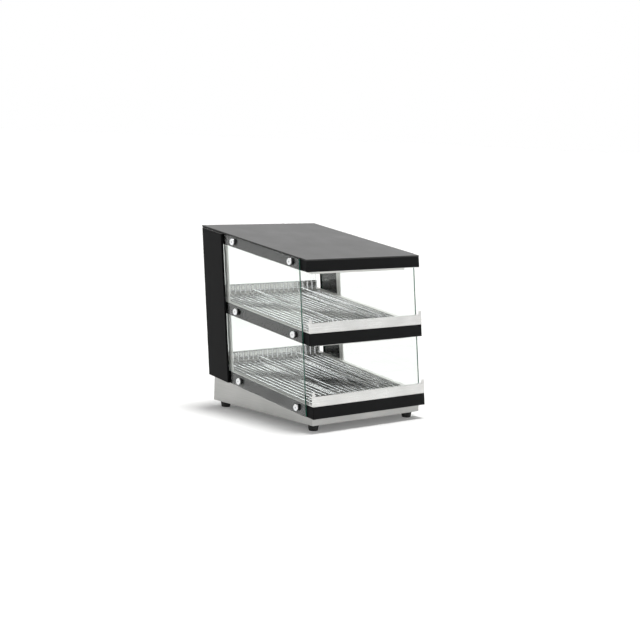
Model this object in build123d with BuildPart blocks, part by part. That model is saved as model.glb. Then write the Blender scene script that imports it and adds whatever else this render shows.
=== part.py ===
"""Heated pass-through display cabinet with two sloping heated shelves.

X runs to the right of someone facing the open front, Y runs to the rear and Z up. The origin is
on the counter under the middle of the cabinet. The side view is a leaning parallelogram, so most
places are given by two slanted distances from the front lower edge of the bottom shelf box:
"run" goes back along the shelf slope, and "rise" goes up the lean of the uprights.
"""

import os
from math import asin, cos, radians, sin, tan

from build123d import *

os.makedirs("parts", exist_ok=True)

# Overall form
cabinet_width = 460.0
shelf_depth = 500.0
shelf_slope = 7.2
upright_lean = 7.2
band_height = 37.5
tier_pitch = 212.0
sheet = 1.5

# Stainless base and its feet
base_side_inset = 11.0
base_front_setback = 15.0
base_rear_setback = 12.5
base_front_height = 24.0
base_corner_radius = 3.0
base_flange = 46.0
plate_gap = 0.5
vent_length = 60.0
vent_width = 6.0
vent_count = 8
vent_pitch = 16.0
foot_height = 20.0
foot_top_diameter = 34.0
foot_bottom_diameter = 27.0
foot_recess_diameter = 13.0
foot_recess_depth = 11.0
foot_inset = 27.0
foot_screw_diameter = 5.0
foot_screw_head_diameter = 9.5
foot_screw_head_height = 3.5
foot_screw_length = 20.0

# Controls on the rear of the base
panel_width = 330.0
panel_height = 58.0
panel_thickness = 2.0
panel_corner_radius = 4.0
panel_clearance = 3.0
knob_diameter = 34.0
knob_height = 18.0
knob_skirt = 4.0
knob_skirt_edge = 2.4
knob_grip_base_diameter = 27.0
knob_grip_top_diameter = 23.0
knob_edge_radius = 2.0
knob_pointer_width = 3.0
knob_pointer_setback = 1.0
knob_gap = 0.8
knob_spacing = 62.0
knob_offset = 66.0
shaft_diameter = 6.0
shaft_clearance = 0.05
shaft_reach = 12.0
shaft_collar_diameter = 9.0
thermostat_size = 30.0
thermostat_depth = 26.0
thermostat_corner_radius = 3.0
switch_width = 15.0
switch_height = 21.0
switch_bezel = 2.0
switch_rim = 1.5
switch_end_rim = 1.0
switch_corner_radius = 1.5
switch_depth = 17.0
switch_spacing = 26.0
switch_offset = -22.0
rocker_radius = 8.0
rocker_width = 10.0
rocker_tilt = 12.0
rocker_tip_angle = 28.0
rocker_valley_share = 0.7
rocker_pivot_share = 0.45
rocker_pin_diameter = 2.0
rocker_pin_reach = 1.0
rocker_clearance = 0.4
pin_clearance = 0.06
lamp_lens_diameter = 9.0
lamp_lens_height = 4.0
panel_hole_gap = 0.1
lamp_body_diameter = 7.0
lamp_body_length = 18.0
lamp_rise = 22.0
gland_thread_diameter = 16.0
gland_flat_width = 22.0
gland_nut_length = 11.0
gland_dome_length = 6.0
gland_dome_inset = 1.0
gland_dome_taper = 20.0
gland_thread_length = 14.0
gland_lock_thickness = 4.0
gland_bore_diameter = 8.4
gland_offset = -128.0
terminal_width = 46.0
terminal_depth = 20.0
terminal_height = 18.0
terminal_ways = 3
terminal_row_spacing = 10.0
terminal_hole_diameter = 7.6
terminal_hole_depth = 6.0
terminal_setback = 60.0

# Shelf boxes
fascia_thickness = 3.0
fascia_end_radius = 2.4
deck_flange_thickness = 1.5
deck_margin = 16.0
deck_recess = 9.3
heater_thickness = 4.0
heater_margin = 12.0
insulation_gap = 1.0
side_seam_width = 3.0
side_seam_depth = 0.8
side_seam_gap = 9.0

# Roof
lid_thickness = 4.0
lid_overhang = 2.5
lid_edge_radius = 1.2
ceiling_thickness = 1.2

# Stainless lip along the front of each shelf
lip_height = 28.0
lip_return = 7.0
lip_tab_width = 11.0
lip_tab_height = 13.0
lip_cheek_depth = 16.0

# Wire rack on each shelf
wire_diameter = 4.5
wire_pitch = 20.0
rack_side_gap = 12.0
wire_bend_radius = 7.0
wire_weld = 0.4
rack_front_margin = 10.0
rack_rear_margin = 22.0
guard_height = 31.0
guard_rail_low = 9.0
rack_cross_wires = 5
rack_float = 0.3

# Wire lane dividers, which slide sideways on the racks
divider_wire_diameter = 4.0
divider_height = 24.0
divider_front_run = 50.0
divider_rear_setback = 70.0
divider_bend_radius = 8.0
divider_foot_length = 30.0
upper_divider_x = 95.0
lower_divider_x = 79.0

# Side glass and its studs
glass_thickness = 5.0
glass_gap = 0.6
glass_front_setback = 28.0
glass_rear_setback = 30.0
glass_corner_radius = 3.0
glass_top_gap = 0.3
stud_front_run = 64.0
stud_spacing = 272.0
stud_cap_diameter = 20.0
stud_cap_height = 8.0
stud_socket_diameter = 5.0
stud_socket_depth = 3.0
stud_shank_diameter = 8.0
stud_hole_diameter = 9.0
stud_end = 0.5

# Side columns and inner posts
column_rear_setback = 15.5
column_depth = 96.5
column_thickness = 7.6
column_glass_gap = 0.3
column_top_drop = 1.0
column_edge_radius = 1.5
post_width = 16.0
post_thickness = 4.0
post_reach = 14.0

# Lighting strips
light_end_gap = 40.0
light_width = 18.0
light_height = 10.0
light_run = 26.0
light_lens_depth = 2.0

# Rear doors
door_thickness = 5.0
door_rear_setback = 11.0
door_side_gap = 9.0
door_bottom_gap = 3.0
door_axis_drop = 8.0
door_rail_radius = 6.0
door_pane_entry = 2.4
door_pin_diameter = 4.0
door_pin_length = 4.0
door_pin_clearance = 0.06
bracket_thickness = 3.0
bracket_gap = 0.4
bracket_width = 13.0
handle_height = 18.0
handle_reach = 12.0
handle_wall = 2.0
handle_floor = 1.0

# Slanted directions and places worked out from the sizes above
slope = radians(shelf_slope)
lean = radians(upright_lean)
half_width = cabinet_width / 2
mid_floor = tier_pitch
roof_floor = 2 * tier_pitch
roof_top = 2 * tier_pitch + band_height
overall_depth = shelf_depth * cos(slope) + roof_top * sin(lean)
front_y = -overall_depth / 2
front_z = foot_height + base_front_height - base_front_setback * tan(slope)


def at(run, rise):
    """Side-view place (y, z) of a slanted run and rise."""
    return (front_y + run * cos(slope) + rise * sin(lean), front_z + run * sin(slope) + rise * cos(lean))


def slanted(run_0, run_1, rise_0, rise_1):
    """Corners of a side-view parallelogram."""
    return [at(run_0, rise_0), at(run_1, rise_0), at(run_1, rise_1), at(run_0, rise_1)]


def shelf_plane(run, rise):
    """Plane that lies along the shelf slope."""
    return Plane(origin=(0, *at(run, rise)), x_dir=(1, 0, 0), z_dir=(0, -sin(slope), cos(slope)))


def front_plane(run, rise):
    """Plane that lies along the lean and faces the front."""
    return Plane(origin=(0, *at(run, rise)), x_dir=(1, 0, 0), z_dir=(0, -cos(lean), sin(lean)))


def save(piece, name):
    """Label a finished piece and write it."""
    piece.part.label = name
    export_step(piece.part, f"parts/{name}.step")


# Base: a stainless wedge under the bottom shelf box
base_half_width = half_width - base_side_inset
base_front_y = front_y + base_front_setback
base_rear_y = front_y + shelf_depth * cos(slope) - base_rear_setback
base_floor_z = foot_height
base_front_top = foot_height + base_front_height
base_rear_top = base_front_top + (base_rear_y - base_front_y) * tan(slope)

base_mid_y = (base_front_y + base_rear_y) / 2
foot_x = base_half_width - foot_inset
foot_dy = (base_rear_y - base_front_y) / 2 - foot_inset
foot_places = [(sx * foot_x, base_mid_y + sy * foot_dy) for sx in (-1, 1) for sy in (-1, 1)]
foot_names = ["foot_front_left", "foot_rear_left", "foot_front_right", "foot_rear_right"]

# Rear control places, in X along the panel and Z up it
panel_z = base_floor_z + panel_clearance + panel_height / 2
panel_face_y = base_rear_y + panel_thickness
knob_places = [knob_offset, knob_offset + knob_spacing]
switch_places = [switch_offset, switch_offset - switch_spacing]
switch_hole_width = switch_width - 2 * switch_rim
switch_hole_height = switch_height - 2 * switch_end_rim
knob_z = panel_z - panel_height / 2 + knob_diameter / 2 + panel_clearance
lamp_places = [(x, knob_z + lamp_rise) for x in knob_places]
rear_face = Plane(origin=(0, base_rear_y, 0), x_dir=(1, 0, 0), z_dir=(0, -1, 0))
panel_face = Plane(origin=(0, panel_face_y, 0), x_dir=(1, 0, 0), z_dir=(0, -1, 0))


def cut_control_holes():
    """Draw the openings for everything that passes through the panel, on a rear-facing sketch."""
    with Locations(*[(x, knob_z) for x in knob_places]):
        Circle(shaft_collar_diameter / 2)
    with Locations(*[(x, knob_z) for x in switch_places]):
        Rectangle(switch_hole_width, switch_hole_height)
    with Locations(*lamp_places):
        Circle(lamp_body_diameter / 2)
    with Locations((gland_offset, knob_z)):
        Circle(gland_thread_diameter / 2)


with BuildPart() as base_shell:
    with BuildSketch(Plane.YZ.offset(-base_half_width)):
        Polygon(
            (base_front_y, base_floor_z),
            (base_rear_y, base_floor_z),
            (base_rear_y, base_rear_top),
            (base_front_y, base_front_top),
            align=None,
        )
    extrude(amount=2 * base_half_width)
    fillet(base_shell.edges().filter_by(Axis.Z).group_by(Axis.Y)[0], radius=base_corner_radius)
    # The inside is open at the top, against the shelf box, and at the rear, where the wall closes it
    with BuildSketch(Plane.YZ.offset(-base_half_width + sheet)):
        Polygon(
            (base_front_y + sheet, base_floor_z + sheet),
            (base_rear_y, base_floor_z + sheet),
            (base_rear_y, base_rear_top + sheet),
            (base_front_y + sheet, base_front_top + sheet),
            align=None,
        )
    extrude(amount=2 * (base_half_width - sheet), mode=Mode.SUBTRACT)
    # The bottom is open inside a turned-in flange
    with BuildSketch(Plane.XY.offset(base_floor_z)):
        with Locations((0, base_mid_y)):
            Rectangle(
                2 * (base_half_width - base_flange),
                base_rear_y - base_front_y - 2 * base_flange,
            )
        with Locations(*foot_places):
            Circle(foot_screw_diameter / 2)
    extrude(amount=sheet, mode=Mode.SUBTRACT)
save(base_shell, "base_shell")

# Rear wall, which stands on the flange between the sides and carries the controls
wall_bottom = base_floor_z + sheet
wall_top = base_rear_top - sheet * tan(slope)
with BuildPart() as base_rear_wall:
    with BuildSketch(rear_face):
        with Locations((0, (wall_bottom + wall_top) / 2)):
            Rectangle(2 * (base_half_width - sheet), wall_top - wall_bottom)
    extrude(amount=sheet)
    with BuildSketch(rear_face):
        cut_control_holes()
    extrude(amount=sheet, mode=Mode.SUBTRACT)
save(base_rear_wall, "base_rear_wall")

# Bottom plate, which lies on the flange
plate_half_width = base_half_width - sheet - plate_gap
plate_depth = base_rear_y - base_front_y - 2 * (sheet + plate_gap)

with BuildPart() as base_plate:
    with BuildSketch(Plane.XY.offset(base_floor_z + sheet)):
        with Locations((0, base_mid_y)):
            Rectangle(2 * plate_half_width, plate_depth)
        with Locations((0, base_mid_y)):
            with GridLocations(2 * vent_length, vent_pitch, 2, vent_count):
                SlotOverall(vent_length, vent_width, mode=Mode.SUBTRACT)
        with Locations(*foot_places):
            Circle(foot_screw_diameter / 2, mode=Mode.SUBTRACT)
    extrude(amount=sheet)
save(base_plate, "base_plate")

# Rubber feet
for (x, y), foot_name in zip(foot_places, foot_names):
    with BuildPart() as foot:
        with BuildSketch(Plane(origin=(x, y, 0), x_dir=(1, 0, 0), z_dir=(0, -1, 0))):
            Polygon(
                (foot_screw_diameter / 2, foot_recess_depth),
                (foot_recess_diameter / 2, foot_recess_depth),
                (foot_recess_diameter / 2, 0),
                (foot_bottom_diameter / 2, 0),
                (foot_top_diameter / 2, foot_height),
                (foot_screw_diameter / 2, foot_height),
                align=None,
            )
        revolve(axis=Axis((x, y, 0), (0, 0, 1)))
    save(foot, foot_name)

with BuildPart() as foot_screws:
    with BuildSketch(Plane.XY.offset(foot_recess_depth)):
        with Locations(*foot_places):
            Circle(foot_screw_head_diameter / 2)
    extrude(amount=-foot_screw_head_height)
    with BuildSketch(Plane.XY.offset(foot_recess_depth)):
        with Locations(*foot_places):
            Circle(foot_screw_diameter / 2)
    extrude(amount=foot_screw_length)
save(foot_screws, "foot_screws")

# Control panel on the rear face
with BuildPart() as control_panel:
    with BuildSketch(panel_face):
        with Locations((0, panel_z)):
            RectangleRounded(panel_width, panel_height, panel_corner_radius)
    extrude(amount=panel_thickness)
    with BuildSketch(panel_face):
        cut_control_holes()
    extrude(amount=panel_thickness, mode=Mode.SUBTRACT)
save(control_panel, "control_panel")

# Thermostats behind the panel, with shafts that carry the knobs
shaft_length = knob_gap + shaft_reach
grip_base = knob_grip_base_diameter / 2
grip_top = knob_grip_top_diameter / 2
for level, knob_x in zip(("lower", "upper"), knob_places):
    with BuildPart() as thermostat:
        with BuildSketch(rear_face.offset(sheet)):
            with Locations((knob_x, knob_z)):
                RectangleRounded(thermostat_size, thermostat_size, thermostat_corner_radius)
        extrude(amount=thermostat_depth)
        with BuildSketch(rear_face.offset(sheet)):
            with Locations((knob_x, knob_z)):
                Circle(shaft_collar_diameter / 2 - panel_hole_gap)
        extrude(amount=-(sheet + panel_thickness))
        with BuildSketch(panel_face):
            with Locations((knob_x, knob_z)):
                Circle(shaft_diameter / 2)
        extrude(amount=-shaft_length)
    save(thermostat, f"thermostat_{level}")

    with BuildPart() as knob:
        with BuildSketch(Plane(origin=(knob_x, panel_face_y + knob_gap, knob_z), x_dir=(1, 0, 0), z_dir=(0, 0, 1))):
            with BuildLine():
                Polyline(
                    (0, 0),
                    (knob_diameter / 2, 0),
                    (knob_diameter / 2, knob_skirt_edge),
                    (grip_base, knob_skirt),
                    (grip_top, knob_height - knob_edge_radius),
                )
                CenterArc((grip_top - knob_edge_radius, knob_height - knob_edge_radius), knob_edge_radius, 0, 90)
                Line((grip_top - knob_edge_radius, knob_height), (0, knob_height))
                Line((0, knob_height), (0, 0))
            make_face()
        revolve(axis=Axis((knob_x, panel_face_y + knob_gap, knob_z), (0, 1, 0)))
        # Raised pointer from the centre to the edge of the skirt
        with BuildSketch(Plane(origin=(knob_x, 0, 0), x_dir=(0, 1, 0), z_dir=(1, 0, 0))):
            with Locations((panel_face_y + knob_gap + knob_height / 2, knob_z + knob_diameter / 4)):
                Rectangle(knob_height, knob_diameter / 2 - knob_pointer_setback)
        extrude(amount=knob_pointer_width / 2, both=True)
        with BuildSketch(Plane(origin=(0, panel_face_y + knob_gap, 0), x_dir=(1, 0, 0), z_dir=(0, -1, 0))):
            with Locations((knob_x, knob_z)):
                Circle(shaft_diameter / 2 + shaft_clearance)
        extrude(amount=-shaft_length, mode=Mode.SUBTRACT)
    save(knob, f"knob_{level}")

# Rocker switches: a snap-in frame and a tilting paddle
pivot_depth = rocker_radius * rocker_pivot_share
for use, switch_x in zip(("power", "light"), switch_places):
    pivot_y = panel_face_y + switch_bezel - pivot_depth
    rocker_room = Plane(origin=(switch_x, pivot_y, knob_z), x_dir=(0, 1, 0), z_dir=(1, 0, 0))
    with BuildPart() as switch_frame:
        with BuildSketch(panel_face):
            with Locations((switch_x, knob_z)):
                RectangleRounded(switch_width, switch_height, switch_corner_radius)
        extrude(amount=-switch_bezel)
        with BuildSketch(panel_face):
            with Locations((switch_x, knob_z)):
                Rectangle(switch_hole_width, switch_hole_height)
        extrude(amount=switch_depth)
        with BuildSketch(rocker_room):
            Circle(rocker_radius + rocker_clearance)
            with Locations((rocker_radius, 0)):
                Rectangle(2 * rocker_radius, 2 * (rocker_radius + rocker_clearance))
        extrude(amount=rocker_width / 2 + rocker_clearance, both=True, mode=Mode.SUBTRACT)
        with BuildSketch(rocker_room):
            Circle(rocker_pin_diameter / 2 + pin_clearance)
        extrude(amount=rocker_width / 2 + rocker_pin_reach + pin_clearance, both=True, mode=Mode.SUBTRACT)
    save(switch_frame, f"{use}_switch_frame")

    tilt_dir = (0, cos(radians(rocker_tilt)), -sin(radians(rocker_tilt)))
    tilted_room = Plane(origin=(switch_x, pivot_y, knob_z), x_dir=tilt_dir, z_dir=(1, 0, 0))
    tip_out = rocker_radius * sin(radians(rocker_tip_angle))
    tip_up = rocker_radius * cos(radians(rocker_tip_angle))
    with BuildPart() as rocker:
        with BuildSketch(tilted_room):
            Circle(rocker_radius)
            # The face is cut to a shallow valley between two raised tips
            Polygon(
                (tip_out * rocker_valley_share, 0),
                (tip_out, tip_up),
                (2 * rocker_radius, tip_up),
                (2 * rocker_radius, -tip_up),
                (tip_out, -tip_up),
                align=None,
                mode=Mode.SUBTRACT,
            )
        extrude(amount=rocker_width / 2, both=True)
        with BuildSketch(tilted_room):
            Circle(rocker_pin_diameter / 2)
        extrude(amount=rocker_width / 2 + rocker_pin_reach, both=True)
    save(rocker, f"{use}_rocker")

# Indicator lamps: a domed lens on a body that passes through the panel
lens_radius = (lamp_lens_diameter**2 / 4 + lamp_lens_height**2) / (2 * lamp_lens_height)
lens_angle = asin(lamp_lens_diameter / 2 / lens_radius) / 2
with BuildPart() as pilot_lamps:
    for lamp_x, lamp_z in lamp_places:
        with BuildSketch(Plane(origin=(lamp_x, panel_face_y, lamp_z), x_dir=(1, 0, 0), z_dir=(0, 0, 1))):
            with BuildLine():
                Polyline(
                    (0, lamp_lens_height),
                    (0, -lamp_body_length),
                    (lamp_body_diameter / 2 - panel_hole_gap, -lamp_body_length),
                    (lamp_body_diameter / 2 - panel_hole_gap, 0),
                    (lamp_lens_diameter / 2, 0),
                )
                ThreePointArc(
                    (lamp_lens_diameter / 2, 0),
                    (lens_radius * sin(lens_angle), lamp_lens_height - lens_radius * (1 - cos(lens_angle))),
                    (0, lamp_lens_height),
                )
            make_face()
        revolve(axis=Axis((lamp_x, panel_face_y, lamp_z), (0, 1, 0)))
save(pilot_lamps, "pilot_lamps")

# Cable gland: a threaded body, a lock nut inside and a domed hexagon cap outside
with BuildPart() as cable_gland:
    with BuildSketch(panel_face):
        with Locations((gland_offset, knob_z)):
            RegularPolygon(gland_flat_width / 2, 6, major_radius=False)
    extrude(amount=-gland_nut_length)
    with BuildSketch(panel_face.offset(-gland_nut_length)):
        with Locations((gland_offset, knob_z)):
            Circle(gland_flat_width / 2 - gland_dome_inset)
    extrude(amount=-gland_dome_length, taper=gland_dome_taper)
    with BuildSketch(panel_face):
        with Locations((gland_offset, knob_z)):
            Circle(gland_thread_diameter / 2 - panel_hole_gap)
    extrude(amount=gland_thread_length)
    with BuildSketch(rear_face.offset(sheet)):
        with Locations((gland_offset, knob_z)):
            RegularPolygon(gland_flat_width / 2, 6, major_radius=False)
    extrude(amount=gland_lock_thickness)
    with BuildSketch(panel_face.offset(-gland_nut_length - gland_dome_length)):
        with Locations((gland_offset, knob_z)):
            Circle(gland_bore_diameter / 2)
    extrude(amount=gland_nut_length + gland_dome_length + gland_thread_length, mode=Mode.SUBTRACT)
save(cable_gland, "cable_gland")

# Terminal block on the bottom plate, behind the gland
terminal_y = base_rear_y - sheet - terminal_setback
with BuildPart() as terminal_block:
    with BuildSketch(Plane.XY.offset(base_floor_z + 2 * sheet)):
        with Locations((gland_offset, terminal_y)):
            Rectangle(terminal_width, terminal_depth)
    extrude(amount=terminal_height)
    with BuildSketch(Plane.XY.offset(base_floor_z + 2 * sheet + terminal_height)):
        with Locations((gland_offset, terminal_y)):
            with GridLocations(terminal_width / terminal_ways, terminal_row_spacing, terminal_ways, 2):
                Circle(terminal_hole_diameter / 2)
    extrude(amount=-terminal_hole_depth, mode=Mode.SUBTRACT)
save(terminal_block, "terminal_block")

# Shelf boxes: a black folded tray with its deck, heater, insulation, fascia, lip and rack
stud_runs = [stud_front_run, stud_front_run + stud_spacing]
column_run_end = shelf_depth - column_rear_setback
column_front_run = column_run_end - column_depth
seam_run = column_front_run - side_seam_gap
deck_inner_half = half_width - deck_margin
pan_floor_drop = deck_recess + sheet
rack_front_run = deck_margin + rack_front_margin
rack_rear_run = shelf_depth - deck_margin - rack_rear_margin
wire_gaps = int(2 * (deck_inner_half - sheet - rack_side_gap) / wire_pitch)
rack_half_width = wire_gaps * wire_pitch / 2
wire_radius = wire_diameter / 2
cross_radius_drop = wire_diameter - wire_weld
divider_radius = divider_wire_diameter / 2
divider_rear_run = shelf_depth - divider_rear_setback
light_length = cabinet_width - 2 * light_end_gap


def cut_stud_holes(rise, x):
    """Bore the side skin at x for the front and rear studs of the box whose underside is at rise."""
    with BuildPart(mode=Mode.PRIVATE) as bores:
        with BuildSketch(Plane.YZ.offset(x)):
            with Locations(*[at(run, rise + band_height / 2) for run in stud_runs]):
                Circle(stud_shank_diameter / 2)
        extrude(amount=2 * sheet, both=True)
    return bores.part


for level, floor, divider_x in (("lower", 0.0, lower_divider_x), ("upper", mid_floor, upper_divider_x)):
    top = floor + band_height
    tray_top = top - deck_flange_thickness

    with BuildPart() as tray:
        with BuildSketch(Plane.YZ.offset(-half_width)):
            Polygon(*slanted(fascia_thickness, shelf_depth, floor, tray_top), align=None)
        extrude(amount=cabinet_width)
        with BuildSketch(Plane.YZ.offset(-half_width + sheet)):
            Polygon(
                *slanted(fascia_thickness + sheet, shelf_depth - sheet, floor + sheet, top), align=None
            )
        extrude(amount=cabinet_width - 2 * sheet, mode=Mode.SUBTRACT)
        for side in (-1, 1):
            # Upright seam in the side skin, just in front of the column
            with BuildSketch(Plane.YZ.offset(side * half_width)):
                Polygon(*slanted(seam_run - side_seam_width, seam_run, floor, tray_top), align=None)
            extrude(amount=-side * side_seam_depth, mode=Mode.SUBTRACT)
            add(cut_stud_holes(floor, side * half_width), mode=Mode.SUBTRACT)
    save(tray, f"{level}_tray")

    # Front fascia with slightly rounded ends
    with BuildPart() as fascia:
        with BuildSketch(Plane.YZ.offset(-half_width)):
            Polygon(*slanted(0, fascia_thickness, floor, tray_top), align=None)
        extrude(amount=cabinet_width)
        front_face = fascia.faces().filter_by(front_plane(0, 0)).sort_by(Axis.Y)[0]
        fillet(front_face.edges().filter_by(Axis.X, reverse=True), fascia_end_radius)
    save(fascia, f"{level}_fascia")

    # Stainless deck: a flange over the tray with a shallow pan for the rack
    with BuildPart() as deck:
        with BuildSketch(Plane.YZ.offset(-half_width)):
            Polygon(*slanted(0, shelf_depth, tray_top, top), align=None)
        extrude(amount=cabinet_width)
        with BuildSketch(Plane.YZ.offset(-deck_inner_half)):
            Polygon(
                *slanted(deck_margin, shelf_depth - deck_margin, top - pan_floor_drop, tray_top), align=None
            )
        extrude(amount=2 * deck_inner_half)
        with BuildSketch(Plane.YZ.offset(-deck_inner_half + sheet)):
            Polygon(
                *slanted(
                    deck_margin + sheet, shelf_depth - deck_margin - sheet, top - deck_recess, top
                ),
                align=None,
            )
        extrude(amount=2 * (deck_inner_half - sheet), mode=Mode.SUBTRACT)
    save(deck, f"{level}_deck")

    # Foil heater mat pressed to the underside of the pan
    heater_top = top - pan_floor_drop
    with BuildPart() as heater:
        with BuildSketch(Plane.YZ.offset(-deck_inner_half + heater_margin)):
            Polygon(
                *slanted(
                    deck_margin + heater_margin,
                    shelf_depth - deck_margin - heater_margin,
                    heater_top - heater_thickness,
                    heater_top,
                ),
                align=None,
            )
        extrude(amount=2 * (deck_inner_half - heater_margin))
    save(heater, f"{level}_heater")

    with BuildPart() as insulation:
        with BuildSketch(Plane.YZ.offset(-half_width + sheet + insulation_gap)):
            Polygon(
                *slanted(
                    fascia_thickness + sheet + insulation_gap,
                    shelf_depth - sheet - insulation_gap,
                    floor + sheet,
                    heater_top - heater_thickness,
                ),
                align=None,
            )
        extrude(amount=2 * (half_width - sheet - insulation_gap))
    save(insulation, f"{level}_insulation")

    # Stainless lip: a leaning plate with a folded top, two raised end tabs and end cheeks
    with BuildPart() as lip:
        with BuildSketch(Plane.YZ.offset(-half_width)):
            Polygon(*slanted(0, sheet, top, top + lip_height), align=None)
            Polygon(*slanted(0, lip_return, top + lip_height - sheet, top + lip_height), align=None)
        extrude(amount=cabinet_width)
        for side in (-1, 1):
            with BuildSketch(Plane.YZ.offset(side * (half_width - lip_tab_width))):
                Polygon(*slanted(0, sheet, top, top + lip_height + lip_tab_height), align=None)
            extrude(amount=side * lip_tab_width)
            with BuildSketch(Plane.YZ.offset(side * (half_width - sheet))):
                Polygon(*slanted(0, lip_cheek_depth, top, top + lip_height), align=None)
            extrude(amount=side * sheet)
    save(lip, f"{level}_lip")

    # Chrome wire rack: long wires that turn up into a guard at the rear, on cross wires
    wire_rise = top - wire_radius
    with BuildPart() as rack:
        with BuildLine(Plane.YZ.offset(-rack_half_width)) as wire_path:
            FilletPolyline(
                at(rack_front_run, wire_rise),
                at(rack_rear_run, wire_rise),
                at(rack_rear_run, top + guard_height),
                radius=wire_bend_radius,
            )
        with BuildSketch(Plane(origin=wire_path.line @ 0, z_dir=wire_path.line % 0)):
            Circle(wire_radius)
        sweep(path=wire_path.line)
        first_wire = rack.part
        for index in range(1, wire_gaps + 1):
            add(first_wire.moved(Location((index * wire_pitch, 0, 0))))
        cross_span = rack_rear_run - rack_front_run - 4 * wire_bend_radius
        cross_runs = [
            rack_front_run + wire_bend_radius + index * cross_span / (rack_cross_wires - 1)
            for index in range(rack_cross_wires)
        ]
        cross_places = [at(run, wire_rise - cross_radius_drop) for run in cross_runs]
        guard_run = rack_rear_run + cross_radius_drop
        guard_places = [at(guard_run, top + guard_rail_low), at(guard_run, top + guard_height - wire_radius)]
        with BuildSketch(Plane.YZ.offset(-rack_half_width - wire_radius)):
            with Locations(*cross_places, *guard_places):
                Circle(wire_radius)
        extrude(amount=2 * (rack_half_width + wire_radius))
    save(rack, f"{level}_rack")

    # Lane dividers: a long wire loop on two short cross feet
    foot_rise = top + rack_float + divider_radius
    for side, hand in ((-1, "left"), (1, "right")):
        x = side * divider_x
        with BuildPart() as divider:
            with BuildLine(Plane.YZ.offset(x)) as loop_path:
                FilletPolyline(
                    at(divider_front_run, foot_rise),
                    at(divider_rear_run, foot_rise),
                    at(divider_rear_run, top + divider_height - divider_radius),
                    at(divider_front_run, top + divider_height - divider_radius),
                    radius=divider_bend_radius,
                    close=True,
                )
            with BuildSketch(Plane(origin=loop_path.line @ 0, z_dir=loop_path.line % 0)):
                Circle(divider_radius)
            sweep(path=loop_path.line)
            with BuildSketch(Plane.YZ.offset(x - divider_foot_length / 2)):
                with Locations(
                    at(divider_front_run + 2 * divider_bend_radius, foot_rise),
                    at(divider_rear_run - 2 * divider_bend_radius, foot_rise),
                ):
                    Circle(divider_radius)
            extrude(amount=divider_foot_length)
        save(divider, f"{level}_divider_{hand}")

    # Lighting strip under the box above this shelf
    light_top = floor + tier_pitch - (0 if level == "lower" else ceiling_thickness)
    with BuildPart() as light:
        with BuildSketch(Plane.YZ.offset(-light_length / 2)):
            Polygon(
                *slanted(light_run, light_run + light_width, light_top - light_height, light_top), align=None
            )
        extrude(amount=light_length)
        with BuildSketch(Plane.YZ.offset(-light_length / 2 + light_lens_depth)):
            Polygon(
                *slanted(
                    light_run + light_lens_depth,
                    light_run + light_width - light_lens_depth,
                    light_top - light_height,
                    light_top - light_height + light_lens_depth,
                ),
                align=None,
            )
        extrude(amount=light_length - 2 * light_lens_depth, mode=Mode.SUBTRACT)
    save(light, f"{level}_light")

# Roof: an open-bottomed box with its own fascia, a lid plate and a stainless ceiling
band_top = roof_top - lid_thickness
band_floor = roof_floor + ceiling_thickness
glass_inner_x = half_width + glass_gap
glass_outer_x = glass_inner_x + glass_thickness

with BuildPart() as roof_band:
    with BuildSketch(Plane.YZ.offset(-half_width)):
        Polygon(*slanted(fascia_thickness, shelf_depth, band_floor, band_top), align=None)
    extrude(amount=cabinet_width)
    with BuildSketch(Plane.YZ.offset(-half_width + sheet)):
        Polygon(
            *slanted(fascia_thickness + sheet, shelf_depth - sheet, band_floor, band_top - sheet), align=None
        )
    extrude(amount=cabinet_width - 2 * sheet, mode=Mode.SUBTRACT)
    for side in (-1, 1):
        with BuildSketch(Plane.YZ.offset(side * half_width)):
            Polygon(*slanted(seam_run - side_seam_width, seam_run, band_floor, band_top), align=None)
        extrude(amount=-side * side_seam_depth, mode=Mode.SUBTRACT)
        add(cut_stud_holes(roof_floor, side * half_width), mode=Mode.SUBTRACT)
save(roof_band, "roof_band")

with BuildPart() as roof_fascia:
    with BuildSketch(Plane.YZ.offset(-half_width)):
        Polygon(*slanted(0, fascia_thickness, band_floor, band_top), align=None)
    extrude(amount=cabinet_width)
save(roof_fascia, "roof_fascia")

with BuildPart() as roof_ceiling:
    with BuildSketch(Plane.YZ.offset(-half_width)):
        Polygon(*slanted(0, shelf_depth, roof_floor, band_floor), align=None)
    extrude(amount=cabinet_width)
save(roof_ceiling, "roof_ceiling")

# The lid widens behind the front edge of the glass, to cover the top of the panes
with BuildPart() as roof_lid:
    with BuildSketch(shelf_plane(0, band_top)):
        with Locations((0, shelf_depth / 2)):
            Rectangle(cabinet_width, shelf_depth)
        with Locations((0, (shelf_depth + glass_front_setback) / 2)):
            Rectangle(cabinet_width + 2 * lid_overhang, shelf_depth - glass_front_setback)
    extrude(amount=lid_thickness)
    fillet(roof_lid.faces().sort_by(Axis.Z)[-1].edges(), lid_edge_radius)
save(roof_lid, "roof_lid")

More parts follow.
